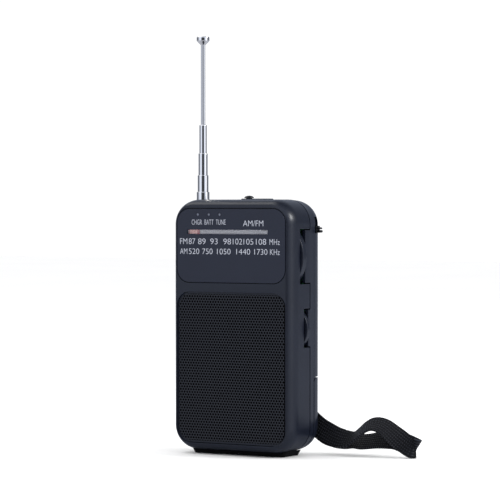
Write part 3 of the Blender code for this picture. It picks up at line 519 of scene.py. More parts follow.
def painted_shade_hole_steel():
    """The walls of the punched holes and the sheet's cut edges, near black: painted shade that keeps the
    holes dark.
    """
    return finish(
        "painted_shade_hole_steel",
        ("Base Color", "#030304", "#08080a", (0.8, 2)),
        ("Roughness", 0.6, 0.8, (0.5, 2)),
        specular_ior_level=0.15,
    )


def acoustic_felt():
    """Black needle felt behind the mesh: no gloss, and a fibrous mottle."""
    return finish(
        "acoustic_felt",
        ("Base Color", "#010101", "#050506", (0.4, 5)),
        ("Normal", 0.0, 0.05, (0.3, 5)),
        roughness=1.0, specular_ior_level=0.0,
    )


def chromed_brass():
    """Drawn brass tube, nickel and chrome plated: a mirror with faint lines along the draw."""
    made, tree, shader, place = blank("chromed_brass", metallic=1.0, base_color=hex_colour("#f4f0ea"))
    drawn = add(tree, "Mapping", {"Scale": (1.0, 1.0, 0.02)}, {"Vector": place}).outputs["Vector"]
    vary(tree, shader, drawn, ("Roughness", 0.03, 0.09, (0.35, 2)), ("Normal", 0.0, 0.0006, (0.5, 2)))
    return made


def nickel_plated_steel():
    """Stamped steel with a dull nickel plate: soft grey with cloudy gloss."""
    return finish(
        "nickel_plated_steel",
        ("Base Color", "#a9a9a8", "#c3c3c1", (2.0, 3)),
        ("Roughness", 0.24, 0.42, (0.8, 3)),
        metallic=1.0,
    )


def clear_acrylic():
    """Moulded acrylic: clear, with a polished face."""
    return finish(
        "clear_acrylic",
        ("Base Color", "#c9ccd6", "#d6d9e0", (6.0, 2)),
        ("Roughness", 0.05, 0.1, (3.0, 2)),
        ior=1.49, alpha=0.12,
    )


def frosted_acrylic():
    """Diffusing acrylic of the light guide and lamps: milky grey, dull."""
    return finish(
        "frosted_acrylic",
        ("Base Color", "#5c6172", "#6c7180", (0.6, 2)),
        ("Roughness", 0.4, 0.55, (0.4, 2)),
        ior=1.49,
    )


def scale_styrene():
    """Light lavender-grey styrene of the dial's scale plate."""
    return finish(
        "scale_styrene",
        ("Base Color", "#c4c6d4", "#cdcfdb", (5.0, 2)),
        ("Roughness", 0.45, 0.6, (1.0, 2)),
    )


def pointer_styrene():
    """The pointer's red styrene: a pale pink middle between two darker red edges, the pale middle a painted
    highlight.
    """
    made, tree, shader, place = blank("pointer_styrene")
    across = add(tree, "SeparateXYZ", links={"Vector": place}).outputs["X"]
    span = add(
        tree, "MapRange", {"From Min": POINTER_LEFT * MM, "From Max": POINTER_RIGHT * MM}, {"Value": across}
    ).outputs["Result"]
    ramp = add(tree, "ValToRGB", links={"Fac": span})
    ramp.color_ramp.interpolation = "EASE"
    ramp.color_ramp.elements[1].position = POINTER_BANDS[1][0]
    for position, _ in POINTER_BANDS[2:]:
        ramp.color_ramp.elements.new(position)
    for element, (_, code) in zip(ramp.color_ramp.elements, POINTER_BANDS):
        element.color = hex_colour(code)
    tree.links.new(ramp.outputs["Color"], shader.inputs["Base Color"])
    vary(tree, shader, place, ("Roughness", 0.3, 0.4, (1.0, 2)))
    return made


def pad_printed_ink():
    """Pale grey ink printed on the panel: dull, and a little uneven in thickness."""
    return finish(
        "pad_printed_ink",
        ("Base Color", "#a6aab8", "#c4c8d4", (0.5, 3)),
        ("Roughness", 0.5, 0.7, (0.7, 2)),
        specular_ior_level=0.3,
    )


def moulded_rubber():
    """Black rubber of the foot pad: dull, dusty, with a matt moulding texture."""
    return finish(
        "moulded_rubber",
        ("Base Color", "#050506", "#0d0d0f", (3.0, 4)),
        ("Roughness", 0.65, 0.85, (1.0, 2)),
        ("Normal", 0.0, 0.03, (0.5, 3)),
        specular_ior_level=0.12,
    )


def woven_polyester():
    """Black polyester webbing: ribs along its length, crossed by the weft and glossy on their crowns; its
    colour is painted lighter on the crowns and darker between the threads, as highlight and shade.
    """
    made, tree, shader, _ = blank(
        "woven_polyester", sheen_weight=0.02, sheen_roughness=0.4, specular_ior_level=0.28
    )
    place = add(tree, "UVMap", uv_map="webbing").outputs["UV"]
    threads = []
    for turn, pitch in ((0, RIB_PITCH), (90, WEFT_PITCH)):
        in_millimetres = {"Rotation": (0, 0, radians(turn)), "Scale": (1 / MM, 1 / MM, 1)}
        turned_uv = add(tree, "Mapping", in_millimetres, {"Vector": place}).outputs["Vector"]
        wave = {"Scale": WAVE_PERIOD / pitch, "Distortion": 0.6, "Detail": 1.0}
        waves = add(tree, "TexWave", wave, {"Vector": turned_uv}, bands_direction="X")
        threads.append(waves.outputs["Fac"])
    crossed = add(tree, "Math", links={0: threads[0], 1: threads[1]}, operation="MULTIPLY").outputs["Value"]
    # Base colour runs from near black between the threads to grey on the crowns: painted shade and painted
    # highlight of the weave.
    vary(
        tree, shader, place,
        ("Base Color", "#010102", "#20222a", crossed),
        ("Roughness", 0.7, 0.36, crossed),
        ("Normal", 0.0, 0.45, crossed),
    )
    return made


def cell_sleeve():
    """A cell's printed shrink sleeve: a pale band at the positive end."""
    made, tree, shader, place = blank("cell_sleeve")
    across = add(tree, "SeparateXYZ", links={"Vector": place}).outputs["X"]
    past = {1: SLEEVE_BAND_X * MM}
    band = add(tree, "Math", past, {0: across}, operation="GREATER_THAN").outputs["Value"]
    vary(
        tree, shader, place,
        ("Base Color", "#2b4a73", "#b9a06a", band),
        ("Roughness", 0.2, 0.34, (4.0, 2)),
    )
    return made


def solder_resist():
    """Glass laminate under green resist, with faint tracks of copper beneath."""
    made, tree, shader, place = blank("solder_resist")
    tracks = add(tree, "TexBrick", {"Scale": 260.0, "Mortar Size": 0.08}, {"Vector": place}).outputs["Fac"]
    vary(
        tree, shader, place,
        ("Base Color", "#12492a", "#1f6b3c", tracks),
        ("Roughness", 0.25, 0.4, (2.0, 2)),
    )
    return made


def pressed_ferrite():
    """Sintered ferrite: dark grey, gritty and dull."""
    return finish(
        "pressed_ferrite",
        ("Base Color", "#1b1b1d", "#2e2e30", (0.5, 4)),
        ("Roughness", 0.55, 0.7, (1.0, 2)),
        ("Normal", 0.0, 0.01, (0.3, 2)),
    )


def enamelled_copper():
    """Enamelled copper wire, wound in close turns."""
    made, tree, shader, place = blank("enamelled_copper", metallic=1.0)
    turns = add(tree, "TexWave", {"Scale": 630.0}, {"Vector": place}, bands_direction="X").outputs["Fac"]
    # Each turn's colour darkens towards its edges where the turns meet: painted shade between the turns.
    vary(
        tree, shader, place,
        ("Base Color", "#7a3a1e", "#c9753f", turns),
        ("Roughness", 0.35, 0.22, turns),
        ("Normal", 0.0, 0.1, turns),
    )
    return made


def coloured_flex(name, dark, light):
    """PVC-covered wire: smooth and slightly glossy."""
    return finish(name, ("Base Color", dark, light, (1.0, 2)), ("Roughness", 0.35, 0.5, (0.8, 2)))


ABS = moulded_abs()
PANEL = printed_panel_abs()
GLOSS = gloss_black_abs()
MESH = painted_mesh_steel()
HOLE_WALL_SHADE = painted_shade_hole_steel()
FELT = acoustic_felt()
CHROME = chromed_brass()
NICKEL = nickel_plated_steel()
CLEAR = clear_acrylic()
FROSTED = frosted_acrylic()
SCALE = scale_styrene()
POINTER = pointer_styrene()
INK = pad_printed_ink()
RUBBER = moulded_rubber()
WEBBING = woven_polyester()
SLEEVE = cell_sleeve()
RESIST = solder_resist()
FERRITE = pressed_ferrite()
COPPER = enamelled_copper()
RED_FLEX = coloured_flex("red_flex", "#7a1414", "#8f1d1d")
BLACK_FLEX = coloured_flex("black_flex", "#101010", "#1a1a1a")
DIAL_CORD = coloured_flex("braided_dial_cord", "#b9b3a3", "#d2ccbd")

INSIDE = (
    (CLEAR, ("dial_lens",)),
    (SCALE, ("dial_scale_plate",)),
    (POINTER, ("dial_pointer",)),
    (DIAL_CORD, ("dial_cord",)),
    (FROSTED, ("led_light_guide", "led_charge", "led_battery", "led_tuning", "tuning_capacitor")),
    (NICKEL, (
        "speaker_basket", "electrolytic_capacitor", "intermediate_coil_can", "tuning_shaft",
        "tuning_wheel_screw", "volume_wheel_screw", "volume_potentiometer", "antenna_bracket",
        "contact_bridge", "contact_positive", "contact_negative", "battery_spring_1",
        "battery_spring_2",
    )),
    (FELT, ("speaker_cone", "grille_felt")),
    (FERRITE, ("speaker_magnet", "ferrite_rod")),
    (RED_FLEX, ("speaker_wire_red",)),
    (BLACK_FLEX, ("speaker_wire_black",)),
    (RESIST, ("circuit_board",)),
    (GLOSS, ("audio_chip", "tuner_chip", "top_switch_body", "side_switch_body")),
    (COPPER, ("antenna_coil",)),
    (SLEEVE, ("battery_cell_1", "battery_cell_2")),
)


def dress_inside():
    for look, names in INSIDE:
        for name in names:
            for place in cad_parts[name].material_slots:
                place.material = look


# ---------------------------------------------------------------- case


def case_block(inset, front, rear, front_fillet, rear_fillet):
    """The case's outside or inside: rolled front and rear edges, and a draft behind the parting line."""
    bm = pillow(
        (-HALF_WIDTH + inset, front, BASE_Z + inset),
        (HALF_WIDTH - inset, rear, TOP_Z - inset),
        CORNER_RADIUS - inset, front_fillet, rear_fillet, edge_steps=12,
    )
    bmesh.ops.bisect_plane(
        bm, geom=bm.verts[:] + bm.edges[:] + bm.faces[:], dist=1e-5,
        plane_co=(0, PARTING_Y, 0), plane_no=(0, 1, 0),
    )
    middle = Matrix.Translation((0, 0, -(BASE_Z + TOP_Z) / 2))
    half_height = (TOP_Z - BASE_Z) / 2
    drawn_in = (1 - REAR_DRAFT / HALF_WIDTH, 1, 1 - REAR_DRAFT / half_height)
    behind = [v for v in bm.verts if v.co.y > PARTING_Y + PAST]
    bmesh.ops.scale(bm, vec=drawn_in, space=middle, verts=behind)
    return bm


def outline_block(inset, front, rear):
    """A plain block that follows the case's outline, set in from it."""
    return pillow(
        (-HALF_WIDTH + inset, front, BASE_Z + inset),
        (HALF_WIDTH - inset, rear, TOP_Z - inset),
        CORNER_RADIUS - inset,
    )


def hollow_case(name):
    whole = raw(name, case_block(0.0, FRONT_Y, REAR_Y, FRONT_FILLET, REAR_FILLET))
    return carve(
        whole, case_block(WALL, FRONT_Y + FRONT_WALL, INNER_REAR, INNER_FRONT_FILLET, INNER_REAR_FILLET)
    )


def wheel_windows(clearance, into):
    """Boxes in the right wall, from each wheel slot's edge back past the parting line."""
    return [
        box(
            (HALF_WIDTH - WALL - PAST, slot_y[into], slot_z[0] - clearance),
            (HALF_WIDTH + PAST, PARTING_Y + PAST, slot_z[1] + clearance),
        )
        for slot_y, slot_z in WHEEL_SLOTS.values()
    ]


def antenna_hole():
    return rod(ANTENNA_HOLE_RADIUS, TOP_Z - 2 * CORNER_RADIUS, TOP_Z + PAST, steps=48, at=ANTENNA_AT)


def switch_rim():
    """The low raised frame round the top switch's slot."""
    rim = box(
        (SWITCH_RIM_X[0], SWITCH_RIM_Y[0], TOP_Z - 0.5), (SWITCH_RIM_X[1], SWITCH_RIM_Y[1], FRONT_HIGH.z)
    )
    bevel(rim, along(rim, 2), 0.8, 4)
    bevel(rim, at_level(rim, 2, FRONT_HIGH.z), 0.3, 2)
    return rim


def front_case():
    """The front shell, with a tongue along the parting line that no daylight passes."""
    shell = hollow_case("front_case")
    grille = pillow(
        (MESH_LOW.x - MESH_MARGIN, FRONT_Y - PAST, MESH_LOW.z - MESH_MARGIN),
        (MESH_HIGH.x + MESH_MARGIN, FRONT_Y + MESH_RECESS, MESH_HIGH.z + MESH_MARGIN),
        MESH_CORNER + MESH_MARGIN,
    )
    panel = pillow(
        (PANEL_LOW.x - GAP, FRONT_Y - PAST, PANEL_LOW.z - GAP),
        (PANEL_HIGH.x + GAP, FRONT_Y + PANEL_RECESS, PANEL_HIGH.z + GAP),
        PANEL_CORNER + GAP,
    )
    inside = FRONT_Y + FRONT_WALL + PAST
    strip = box(
        (SCALE_OPENING_X[0], FRONT_Y, SCALE_OPENING_Z[0]), (SCALE_OPENING_X[1], inside, SCALE_OPENING_Z[1])
    )
    slot = box(
        (TOP_SLOT_X[0], TOP_SLOT_Y[0], TOP_Z - WALL - PAST), (TOP_SLOT_X[1], TOP_SLOT_Y[1], TOP_Z + PAST)
    )
    left = (-HALF_WIDTH - PAST, -HALF_WIDTH + WALL + PAST)
    jack = rod(PHONE_HOLE_RADIUS, *left, (1, 0, 0), at=PHONE_AT)
    port = box((left[0], PORT_Y[0], PORT_Z[0]), (left[1], PORT_Y[1], PORT_Z[1]))
    bevel(port, along(port, 0), 0.8, 4)
    lamps = [rod(LED_HOLE_RADIUS, FRONT_Y, inside, (0, 1, 0), at=(x, 0, LED_Z)) for x in LED_X]
    tongue = (PARTING_Y - TONGUE_LENGTH, PARTING_Y + TONGUE_LENGTH)
    carve(shell, box((-FAR, PARTING_Y - SEAM, -FAR), (FAR, FAR, TOP_Z + FAR)))
    carve(shell, outline_block(TONGUE_INSET, *tongue), operation="UNION")
    carve(shell, outline_block(TONGUE_INSET + TONGUE_THICKNESS, tongue[0], tongue[1] + TONGUE_LENGTH))
    carve(shell, grille, panel, strip, jack, port, antenna_hole(), *wheel_windows(0.0, 0))
    carve(shell, *lamps)
    soften(shell, CASE_BREAK)
    carve(shell, switch_rim(), operation="UNION")
    carve(shell, slot)
    return piece(shell, ABS, "case", ["front_shell"])


def door_region(clearance):
    """The battery door's side view, drawn out across the case, with a round top corner."""
    edge = DOOR_EDGE_Y - clearance
    top = DOOR_TOP + clearance
    bm = box((-FAR, edge, -FAR), (FAR, FAR, top))
    corner = [
        e for e in along(bm, 0)
        if all(abs(v.co.y - edge) < 1e-3 and abs(v.co.z - top) < 1e-3 for v in e.verts)
    ]
    bevel(bm, corner, DOOR_CORNER, 8)
    return bm


def door_lip():
    """A low wall round the battery opening, which the door closes over."""
    reach, above = DOOR_LIP_REACH
    lip = raw("door_lip", outline_block(DOOR_LIP_INSET, TRAY_SHELF[0], DOOR_EDGE_Y + reach))
    top = box((-FAR, -FAR, DOOR_TOP + above), (FAR, FAR, TOP_Z + FAR))
    return carve(lip, outline_block(DOOR_LIP_INSET + DOOR_LIP_THICKNESS, -FAR, FAR), top)


def rear_case():
    """The rear shell, with screw bosses, the strap's pocket, the battery tray and the door's opening."""
    shell = hollow_case("rear_case")
    before = raw("before_parting", box((-FAR, -FAR, -FAR), (FAR, PARTING_Y + SEAM, TOP_Z + FAR)))
    carve(before, *wheel_windows(-2 * SEAM, 1))
    combine(shell, before, "DIFFERENCE")
    sideways, lengthways = TONGUE_FIT
    rebate = (PARTING_Y - TONGUE_LENGTH, PARTING_Y + TONGUE_LENGTH + lengthways)
    carve(shell, outline_block(TONGUE_INSET - sideways, *rebate))
    bosses = [
        rod(BOSS_RADIUS, PARTING_Y + GAP, INNER_REAR + 0.4, (0, 1, 0), at=(x, 0, z))
        for x, z in SCREW_PLACES
    ]
    pocket_wall = box(
        (POCKET_X[0] - POCKET_WALL, POCKET_FLOOR - POCKET_WALL, BAR_Z[0] - 0.9),
        (POCKET_X[1] + POCKET_WALL, INNER_REAR + 0.5, BAR_Z[1] + POCKET_WALL),
    )
    tray_wall = pillow(TRAY_LOW, TRAY_HIGH, TRAY_CORNER)
    tray_shelf = box((-31.0, *TRAY_SHELF), (31.0, INNER_REAR + 0.5, TRAY_HIGH[2]))
    carve(shell, *bosses, pocket_wall, tray_wall, tray_shelf, operation="UNION")
    combine(shell, door_lip(), "UNION")
    seats = [rod(HEAD_SEAT, SEAT_Y, REAR_Y + PAST, (0, 1, 0), at=(x, 0, z)) for x, z in SCREW_PLACES]
    pocket = box((POCKET_X[0], POCKET_FLOOR, BAR_Z[0]), (POCKET_X[1], REAR_Y + PAST, BAR_Z[1]))
    side_slot = box(
        (HALF_WIDTH - 6.0, SIDE_SLOT_Y[0], SIDE_SLOT_Z[0]),
        (HALF_WIDTH + PAST, SIDE_SLOT_Y[1], SIDE_SLOT_Z[1]),
    )
    carve(shell, door_region(DOOR_SEAM), pocket, side_slot, antenna_hole(), *seats)
    soften(shell)
    return piece(shell, ABS, "case", ["rear_shell"])


def battery_hatch():
    door = hollow_case("battery_hatch")
    carve(door, door_region(-DOOR_SEAM), operation="INTERSECT")
    grooves = []
    for z in GRIP_Z:
        groove = box(
            (-GRIP_HALF_WIDTH, REAR_Y - GRIP_DEPTH, z), (GRIP_HALF_WIDTH, REAR_Y + PAST, z + GRIP_HEIGHT)
        )
        bevel(groove, along(groove, 1), 0.44, 3)
        grooves.append(groove)
    carve(door, *grooves)
    soften(door)
    return piece(door, ABS, "battery_lid", ["battery_door"])


def foot():
    """A moulded pad with slanted ends, whose top follows the case's round lower corners."""
    low, high = node_box("foot_pad")
    bm = box(low, high)
    bmesh.ops.subdivide_edges(bm, edges=along(bm, 0), cuts=24, use_grid_fill=True)
    bevel(bm, [e for e in along(bm, 2) if all(abs(v.co.x) > high.x - 0.1 for v in e.verts)], 1.5, 5)
    tapered = [v for v in bm.verts if v.co.z < low.z + 0.1]
    bmesh.ops.scale(bm, vec=FOOT_TAPER, verts=tapered)
    flat = HALF_WIDTH - CORNER_RADIUS
    for vert in bm.verts:
        past = abs(vert.co.x) - flat
        if vert.co.z > high.z - 0.1 and past > 0:
            vert.co.z += CORNER_RADIUS - sqrt(CORNER_RADIUS**2 - past**2)
    bevel(bm, at_level(bm, 2, low.z), 0.3, 3)
    return piece(raw("foot", bm), RUBBER, "case", ["foot_pad"])


# ---------------------------------------------------------------- dial and grille


def dial_front():
    shape = pillow(PANEL_LOW, PANEL_HIGH, PANEL_CORNER, (0.2, 0.2), steps=20, edge_steps=3)
    panel = raw("dial_front", shape)
    through = (FRONT_Y - PAST, FRONT_Y + 2)
    window = box((STRIP_X[0], through[0], STRIP_Z[0]), (STRIP_X[1], through[1], STRIP_Z[1]))
    holes = [rod(LED_WINDOW_RADIUS, *through, (0, 1, 0), at=(x, 0, LED_Z)) for x in LED_X]
    carve(panel, window, *holes)
    return piece(panel, PANEL, "case", ["dial_panel"])


def lettering():
    """Printed words and numbers, each stretched to its own width and height."""
    whole = bmesh.new()
    for words, left, right, low, high in LETTERING:
        curve = bpy.data.curves.new("word", "FONT")
        curve.body = words
        curve.offset = -0.011
        curve.extrude = 0.01
        word = bpy.data.objects.new("word", curve)
        bpy.context.scene.collection.objects.link(word)
        bpy.context.view_layer.update()
        mesh = bpy.data.meshes.new_from_object(word.evaluated_get(bpy.context.evaluated_depsgraph_get()))
        xs = [v.co.x for v in mesh.vertices]
        ys = [v.co.y for v in mesh.vertices]
        wide = (right - left) / (max(xs) - min(xs))
        tall = (high - low) / (max(ys) - min(ys))
        upright = Matrix((
            (wide, 0, 0, left - wide * min(xs)),
            (0, 0, -2.0, FRONT_Y - PRINT_HEIGHT),
            (0, tall, 0, low - tall * min(ys)),
            (0, 0, 0, 1),
        ))
        mesh.transform(upright)
        whole.from_mesh(mesh)
        bpy.data.objects.remove(word)
    bmesh.ops.recalc_face_normals(whole, faces=whole.faces)
    return piece(raw("dial_lettering", whole), INK, "case")


def perforated_mesh():
    """Steel sheet with staggered round holes: one six-sided cell, repeated along a row, then up."""
    row_step = HOLE_PITCH * sqrt(3) / 2
    columns = int((MESH_HIGH.x - MESH_LOW.x) / HOLE_PITCH) + 4
    rows = int((MESH_HIGH.z - MESH_LOW.z) / row_step) + 4
    start = Vector((MESH_LOW.x - 2 * HOLE_PITCH, 0, MESH_LOW.z - 2 * row_step))
    bm = bmesh.new()
    bmesh.ops.create_circle(bm, cap_ends=True, segments=6, radius=HOLE_PITCH / sqrt(3))
    bmesh.ops.rotate(bm, cent=(0, 0, 0), matrix=Matrix.Rotation(pi / 2, 3, "X"), verts=bm.verts)
    bmesh.ops.subdivide_edges(bm, edges=bm.edges[:], cuts=1)
    outer = set(bm.verts)
    bmesh.ops.inset_individual(bm, faces=bm.faces[:], thickness=0.1)
    for vert in bm.verts:
        if vert not in outer:
            vert.co = vert.co.normalized() * HOLE_RADIUS
    bmesh.ops.delete(bm, geom=[f for f in bm.faces if len(f.verts) > 4], context="FACES_ONLY")
    bmesh.ops.translate(bm, vec=start, verts=bm.verts)
    cell = bm.verts[:] + bm.edges[:] + bm.faces[:]
    for column in range(1, columns):
        copied = bmesh.ops.duplicate(bm, geom=cell)["geom"]
        moved = [g for g in copied if isinstance(g, bmesh.types.BMVert)]
        bmesh.ops.translate(bm, vec=(column * HOLE_PITCH, 0, 0), verts=moved)
    row = bm.verts[:] + bm.edges[:] + bm.faces[:]
    for number in range(1, rows):
        copied = bmesh.ops.duplicate(bm, geom=row)["geom"]
        moved = [g for g in copied if isinstance(g, bmesh.types.BMVert)]
        stagger = HOLE_PITCH / 2 if number % 2 else 0.0
        bmesh.ops.translate(bm, vec=(stagger, 0, number * row_step), verts=moved)
    bmesh.ops.remove_doubles(bm, verts=bm.verts, dist=0.02)
    trim(bm)
    bmesh.ops.recalc_face_normals(bm, faces=bm.faces)
    if bm.faces[0].normal.y > 0:
        bmesh.ops.reverse_faces(bm, faces=bm.faces)
    bmesh.ops.translate(bm, vec=(0, MESH_HIGH.y, 0), verts=bm.verts)
    bmesh.ops.solidify(bm, geom=bm.faces[:], thickness=MESH_HIGH.y - MESH_LOW.y)
    sheet = piece(raw("perforated_mesh", bm), MESH, "case", ["grille_mesh"])
    # The hole walls and cut edges take the near-black material: painted shade in the holes.
    sheet.data.materials.append(HOLE_WALL_SHADE)
    for face in sheet.data.polygons:
        face.material_index = int(abs(face.normal.y) < 0.5)
    return sheet


def trim(bm):
    """Shear the sheet along its straight sides and round its corners."""
    middle = (MESH_LOW + MESH_HIGH) / 2
    half = (MESH_HIGH - MESH_LOW) / 2
    corner_steps = 6
    for quarter in range(4):
        for step in range(corner_steps):
            angle = radians(90 * (quarter + step / corner_steps))
            outwards = Vector((cos(angle), 0, sin(angle)))
            signs = Vector((1 if quarter in (0, 3) else -1, 0, 1 if quarter in (0, 1) else -1))
            centre = middle + Vector(
                (signs.x * (half.x - MESH_CORNER), 0, signs.z * (half.z - MESH_CORNER))
            )
            at = centre + outwards * MESH_CORNER
            at.y = 0
            bmesh.ops.bisect_plane(
                bm, geom=bm.verts[:] + bm.edges[:] + bm.faces[:], dist=1e-4,
                plane_co=at, plane_no=outwards, clear_outer=True,
            )


# ---------------------------------------------------------------- wheels and knobs


def knurl(bm, centre, radius, grooves, depth):
    """Press grooves into the rim: every second ring of points goes in."""
    for vert in bm.verts:
        flat = Vector((vert.co.x - centre.x, 0, vert.co.z - centre.z))
        if flat.length < radius - 0.6:
            continue
        turn = Vector((flat.x, flat.z)).angle_signed(Vector((1, 0)))
        if round(turn / (2 * pi) * grooves * 2) % 2:
            vert.co -= flat.normalized() * depth


def tuning_thumbwheel():
    """Rim and web in front, with the cord drum standing out of the web."""
    low, high = TUNING_LOW.y, TUNING_HIGH.y
    r = TUNING_RADIUS
    rim_front = high - 3.6
    web = rim_front + 0.9
    drum, hub, cord = DRUM_RADIUS, HUB_BORE, CORD_Y
    profile = [
        (hub, low), (drum - 0.15, low), (drum, low + 0.15), (drum, cord - 0.5), (drum - 0.8, cord - 0.4),
        (drum - 0.8, cord + 0.4), (drum, cord + 0.5), (drum, web), (r - 2.0, web),
        *arc((r - 1.8, rim_front + 0.2), 0.2, 180, 270, 3),
        *arc((r - 0.4, rim_front + 0.4), 0.4, -90, 0, 4),
        *arc((r - 0.4, high - 0.4), 0.4, 0, 90, 4),
        (hub, high),
    ]
    bm = turned(profile, (0, 1, 0), 216, at=(TUNING_AT.x, 0, TUNING_AT.z))
    knurl(bm, TUNING_AT, r, 108, 0.16)
    return piece(raw("tuning_thumbwheel", bm), ABS, "tuning", ["tuning_wheel"])


def volume_thumbwheel():
    r = VOLUME_RADIUS
    front = VOLUME_LOW.y
    rear = 1.0
    profile = [
        (1.3, front + 0.6), (r - 1.6, front + 0.6), *arc((r - 1.4, front + 0.2), 0.2, 180, 270, 3),
        *arc((r - 0.35, front + 0.35), 0.35, -90, 0, 4),
        *arc((r - 0.35, rear - 0.35), 0.35, 0, 90, 4),
        (2.2, rear), (2.2, VOLUME_HIGH.y), (1.3, VOLUME_HIGH.y),
    ]
    bm = turned(profile, (0, 1, 0), 128, at=(VOLUME_AT.x, 0, VOLUME_AT.z))
    knurl(bm, VOLUME_AT, r, 64, 0.14)
    return piece(raw("volume_thumbwheel", bm), ABS, "volume", ["volume_wheel"])


def band_knob():
    """A domed button on a stem."""
    low, high = node_box("top_slide_knob")
    middle = (low + high) / 2
    radius = (high.x - low.x) / 2
    skirt = TOP_Z + 0.65
    dome = high.z - skirt
    profile = [(0, low.z), (1.5, low.z), (1.5, skirt), (radius - 0.15, skirt)]
    profile += [
        (radius * cos(radians(a)), skirt + 0.15 + (dome - 0.15) * sin(radians(a))) for a in range(0, 90, 10)
    ]
    profile.append((0, high.z))
    bm = turned(profile, steps=48, at=(middle.x, middle.y, 0))
    return piece(raw("band_knob", bm), GLOSS, "top_slider", ["top_slide_knob"], 50)


def tone_knob():
    """A block low in its slot, with a drooping upper fin and a thick lower one to push it by."""
    low, high = node_box("side_slide_knob")
    knob = raw("tone_knob", box((low.x, low.y, low.z), (HALF_WIDTH + 0.15, high.y, high.z), 0.35, 3))
    near, far = low.y + 0.2, high.y - 0.3
    upper = box((FIN_ROOT_X, near, high.z - 1.05), (high.x - 0.5, far, high.z - 0.2), 0.4, 4)
    droop = [v for v in upper.verts if v.co.x > HALF_WIDTH]
    bmesh.ops.translate(upper, vec=(0, 0, -0.55), verts=droop)
    lower = box((FIN_ROOT_X, near, low.z + 0.1), (high.x - 0.2, far, low.z + 1.35), 0.55, 5)
    carve(knob, upper, lower, operation="UNION")
    return piece(knob, GLOSS, "side_slider", ["side_slide_knob"], 40)


# ---------------------------------------------------------------- antenna


def rolled_tube(name, node, wall, body):
    """A drawn tube whose top edge is rolled in."""
    low, high = node_box(node)
    radius = (high.x - low.x) / 2
    roll = min(0.45, wall * 0.95)
    profile = [
        (radius - wall, low.z), (radius, low.z),
        *arc((radius - roll, high.z - roll), roll, 0, 90, 5), (radius - wall, high.z),
    ]
    return piece(raw(name, turned(profile, steps=48, at=ANTENNA_AT)), CHROME, body, [node], 50)


def antenna():
    rolled_tube("antenna_foot_tube", "antenna_base_tube", 0.3, "case")
    rolled_tube("antenna_tube_1", "antenna_section_1", 0.2, "antenna_1")
    rolled_tube("antenna_tube_2", "antenna_section_2", 0.25, "antenna_2")
    rolled_tube("antenna_tube_3", "antenna_section_3", 0.5, "antenna_3")
    low, high = node_box("antenna_rod")
    r = (high.x - low.x) / 2
    neck = high.z - 4.2
    profile = [
        (0, low.z), (1.1, low.z), (1.1, neck), (1.5, neck + 0.35), (2.0, neck + 0.9), (2.6, neck + 1.5),
        *arc((r - 0.5, neck + 2.3), 0.5, -60, 0, 4), *arc((r - 0.6, high.z - 0.6), 0.6, 0, 90, 5),
        (1.6, high.z), (1.2, high.z - 0.35), (0, high.z - 0.45),
    ]
    bm = turned(profile, steps=48, at=ANTENNA_AT)
    return piece(raw("antenna_tip_rod", bm), CHROME, "antenna_tip", ["antenna_rod"], 50)


# ---------------------------------------------------------------- fixings and sockets


def cross_screws():
    """Pan-head screws with a cross recess, sunk in the rear."""
    for number, (x, z) in enumerate(SCREW_PLACES, 1):
        node = f"case_screw_{number}"
        low, high = node_box(node)
        profile = [
            (0, low.y), (0.3, low.y), (1.2, low.y + 1.2), (1.2, 10.9), (2.3, 10.9),
            *arc((1.7, high.y - 0.6), 0.6, 0, 90, 4), (0, high.y),
        ]
        screw = raw(f"cross_screw_{number}", turned(profile, (0, 1, 0), 32, at=(x, 0, z)))
        arms = [
            box((x - a, high.y - 0.8, z - b), (x + a, high.y + PAST, z + b))
            for a, b in ((1.3, 0.22), (0.22, 1.3))
        ]
        carve(screw, *arms)
        piece(screw, NICKEL, "case", [node])


def strap_pin():
    low, high = node_box("strap_bar")
    bm = rod((high.x - low.x) / 2, low.z, high.z, steps=32, at=BAR_AT)
    return piece(raw("strap_pin", bm), NICKEL, "case", ["strap_bar"])


def phone_socket():
    """A blind bore through the left wall, with a softly rounded mouth."""
    low, high = node_box("earphone_jack")
    profile = [
        (0, PHONE_BORE_END), (PHONE_BORE_RADIUS, PHONE_BORE_END), (PHONE_BORE_RADIUS, low.x),
        *arc((2.6, low.x + 0.3), 0.3, -90, 0, 3), (2.9, high.x), (0, high.x),
    ]
    bm = turned(profile, (1, 0, 0), 40, at=PHONE_AT)
    return piece(raw("phone_socket", bm), GLOSS, "case", ["earphone_jack"])


def charging_port():
    """A rounded metal shell with a contact tongue inside."""
    low, high = node_box("charging_socket")
    shell = box(low, high)
    bevel(shell, along(shell, 0), 0.9, 4)
    port = raw("charging_port", shell)
    bore = box((low.x - PAST, low.y + 0.6, low.z + 0.7), (high.x - 1.0, high.y - 0.6, high.z - 0.7))
    bevel(bore, along(bore, 0), 0.6, 4)
    carve(port, bore)
    tongue = box((low.x + 0.6, low.y + 1.6, low.z + 1.5), (high.x - 0.5, high.y - 1.6, low.z + 2.1))
    carve(port, tongue, operation="UNION")
    return piece(port, NICKEL, "case", ["charging_socket"])


# ---------------------------------------------------------------- strap


def between(before, a, b, after, t):
    """A point of the Catmull-Rom curve from `a` to `b`."""
    bend = 2 * before - 5 * a + 4 * b - after
    twist = 3 * a - before - 3 * b + after
    return 0.5 * (2 * a + (b - before) * t + bend * t**2 + twist * t**3)


def smooth_ring(points, each):
    """The endless curve through `points`."""
    count = len(points)
    return [
        between(*(points[(i + k) % count] for k in (-1, 0, 1, 2)), step / each)
        for i in range(count)
        for step in range(each)
    ]


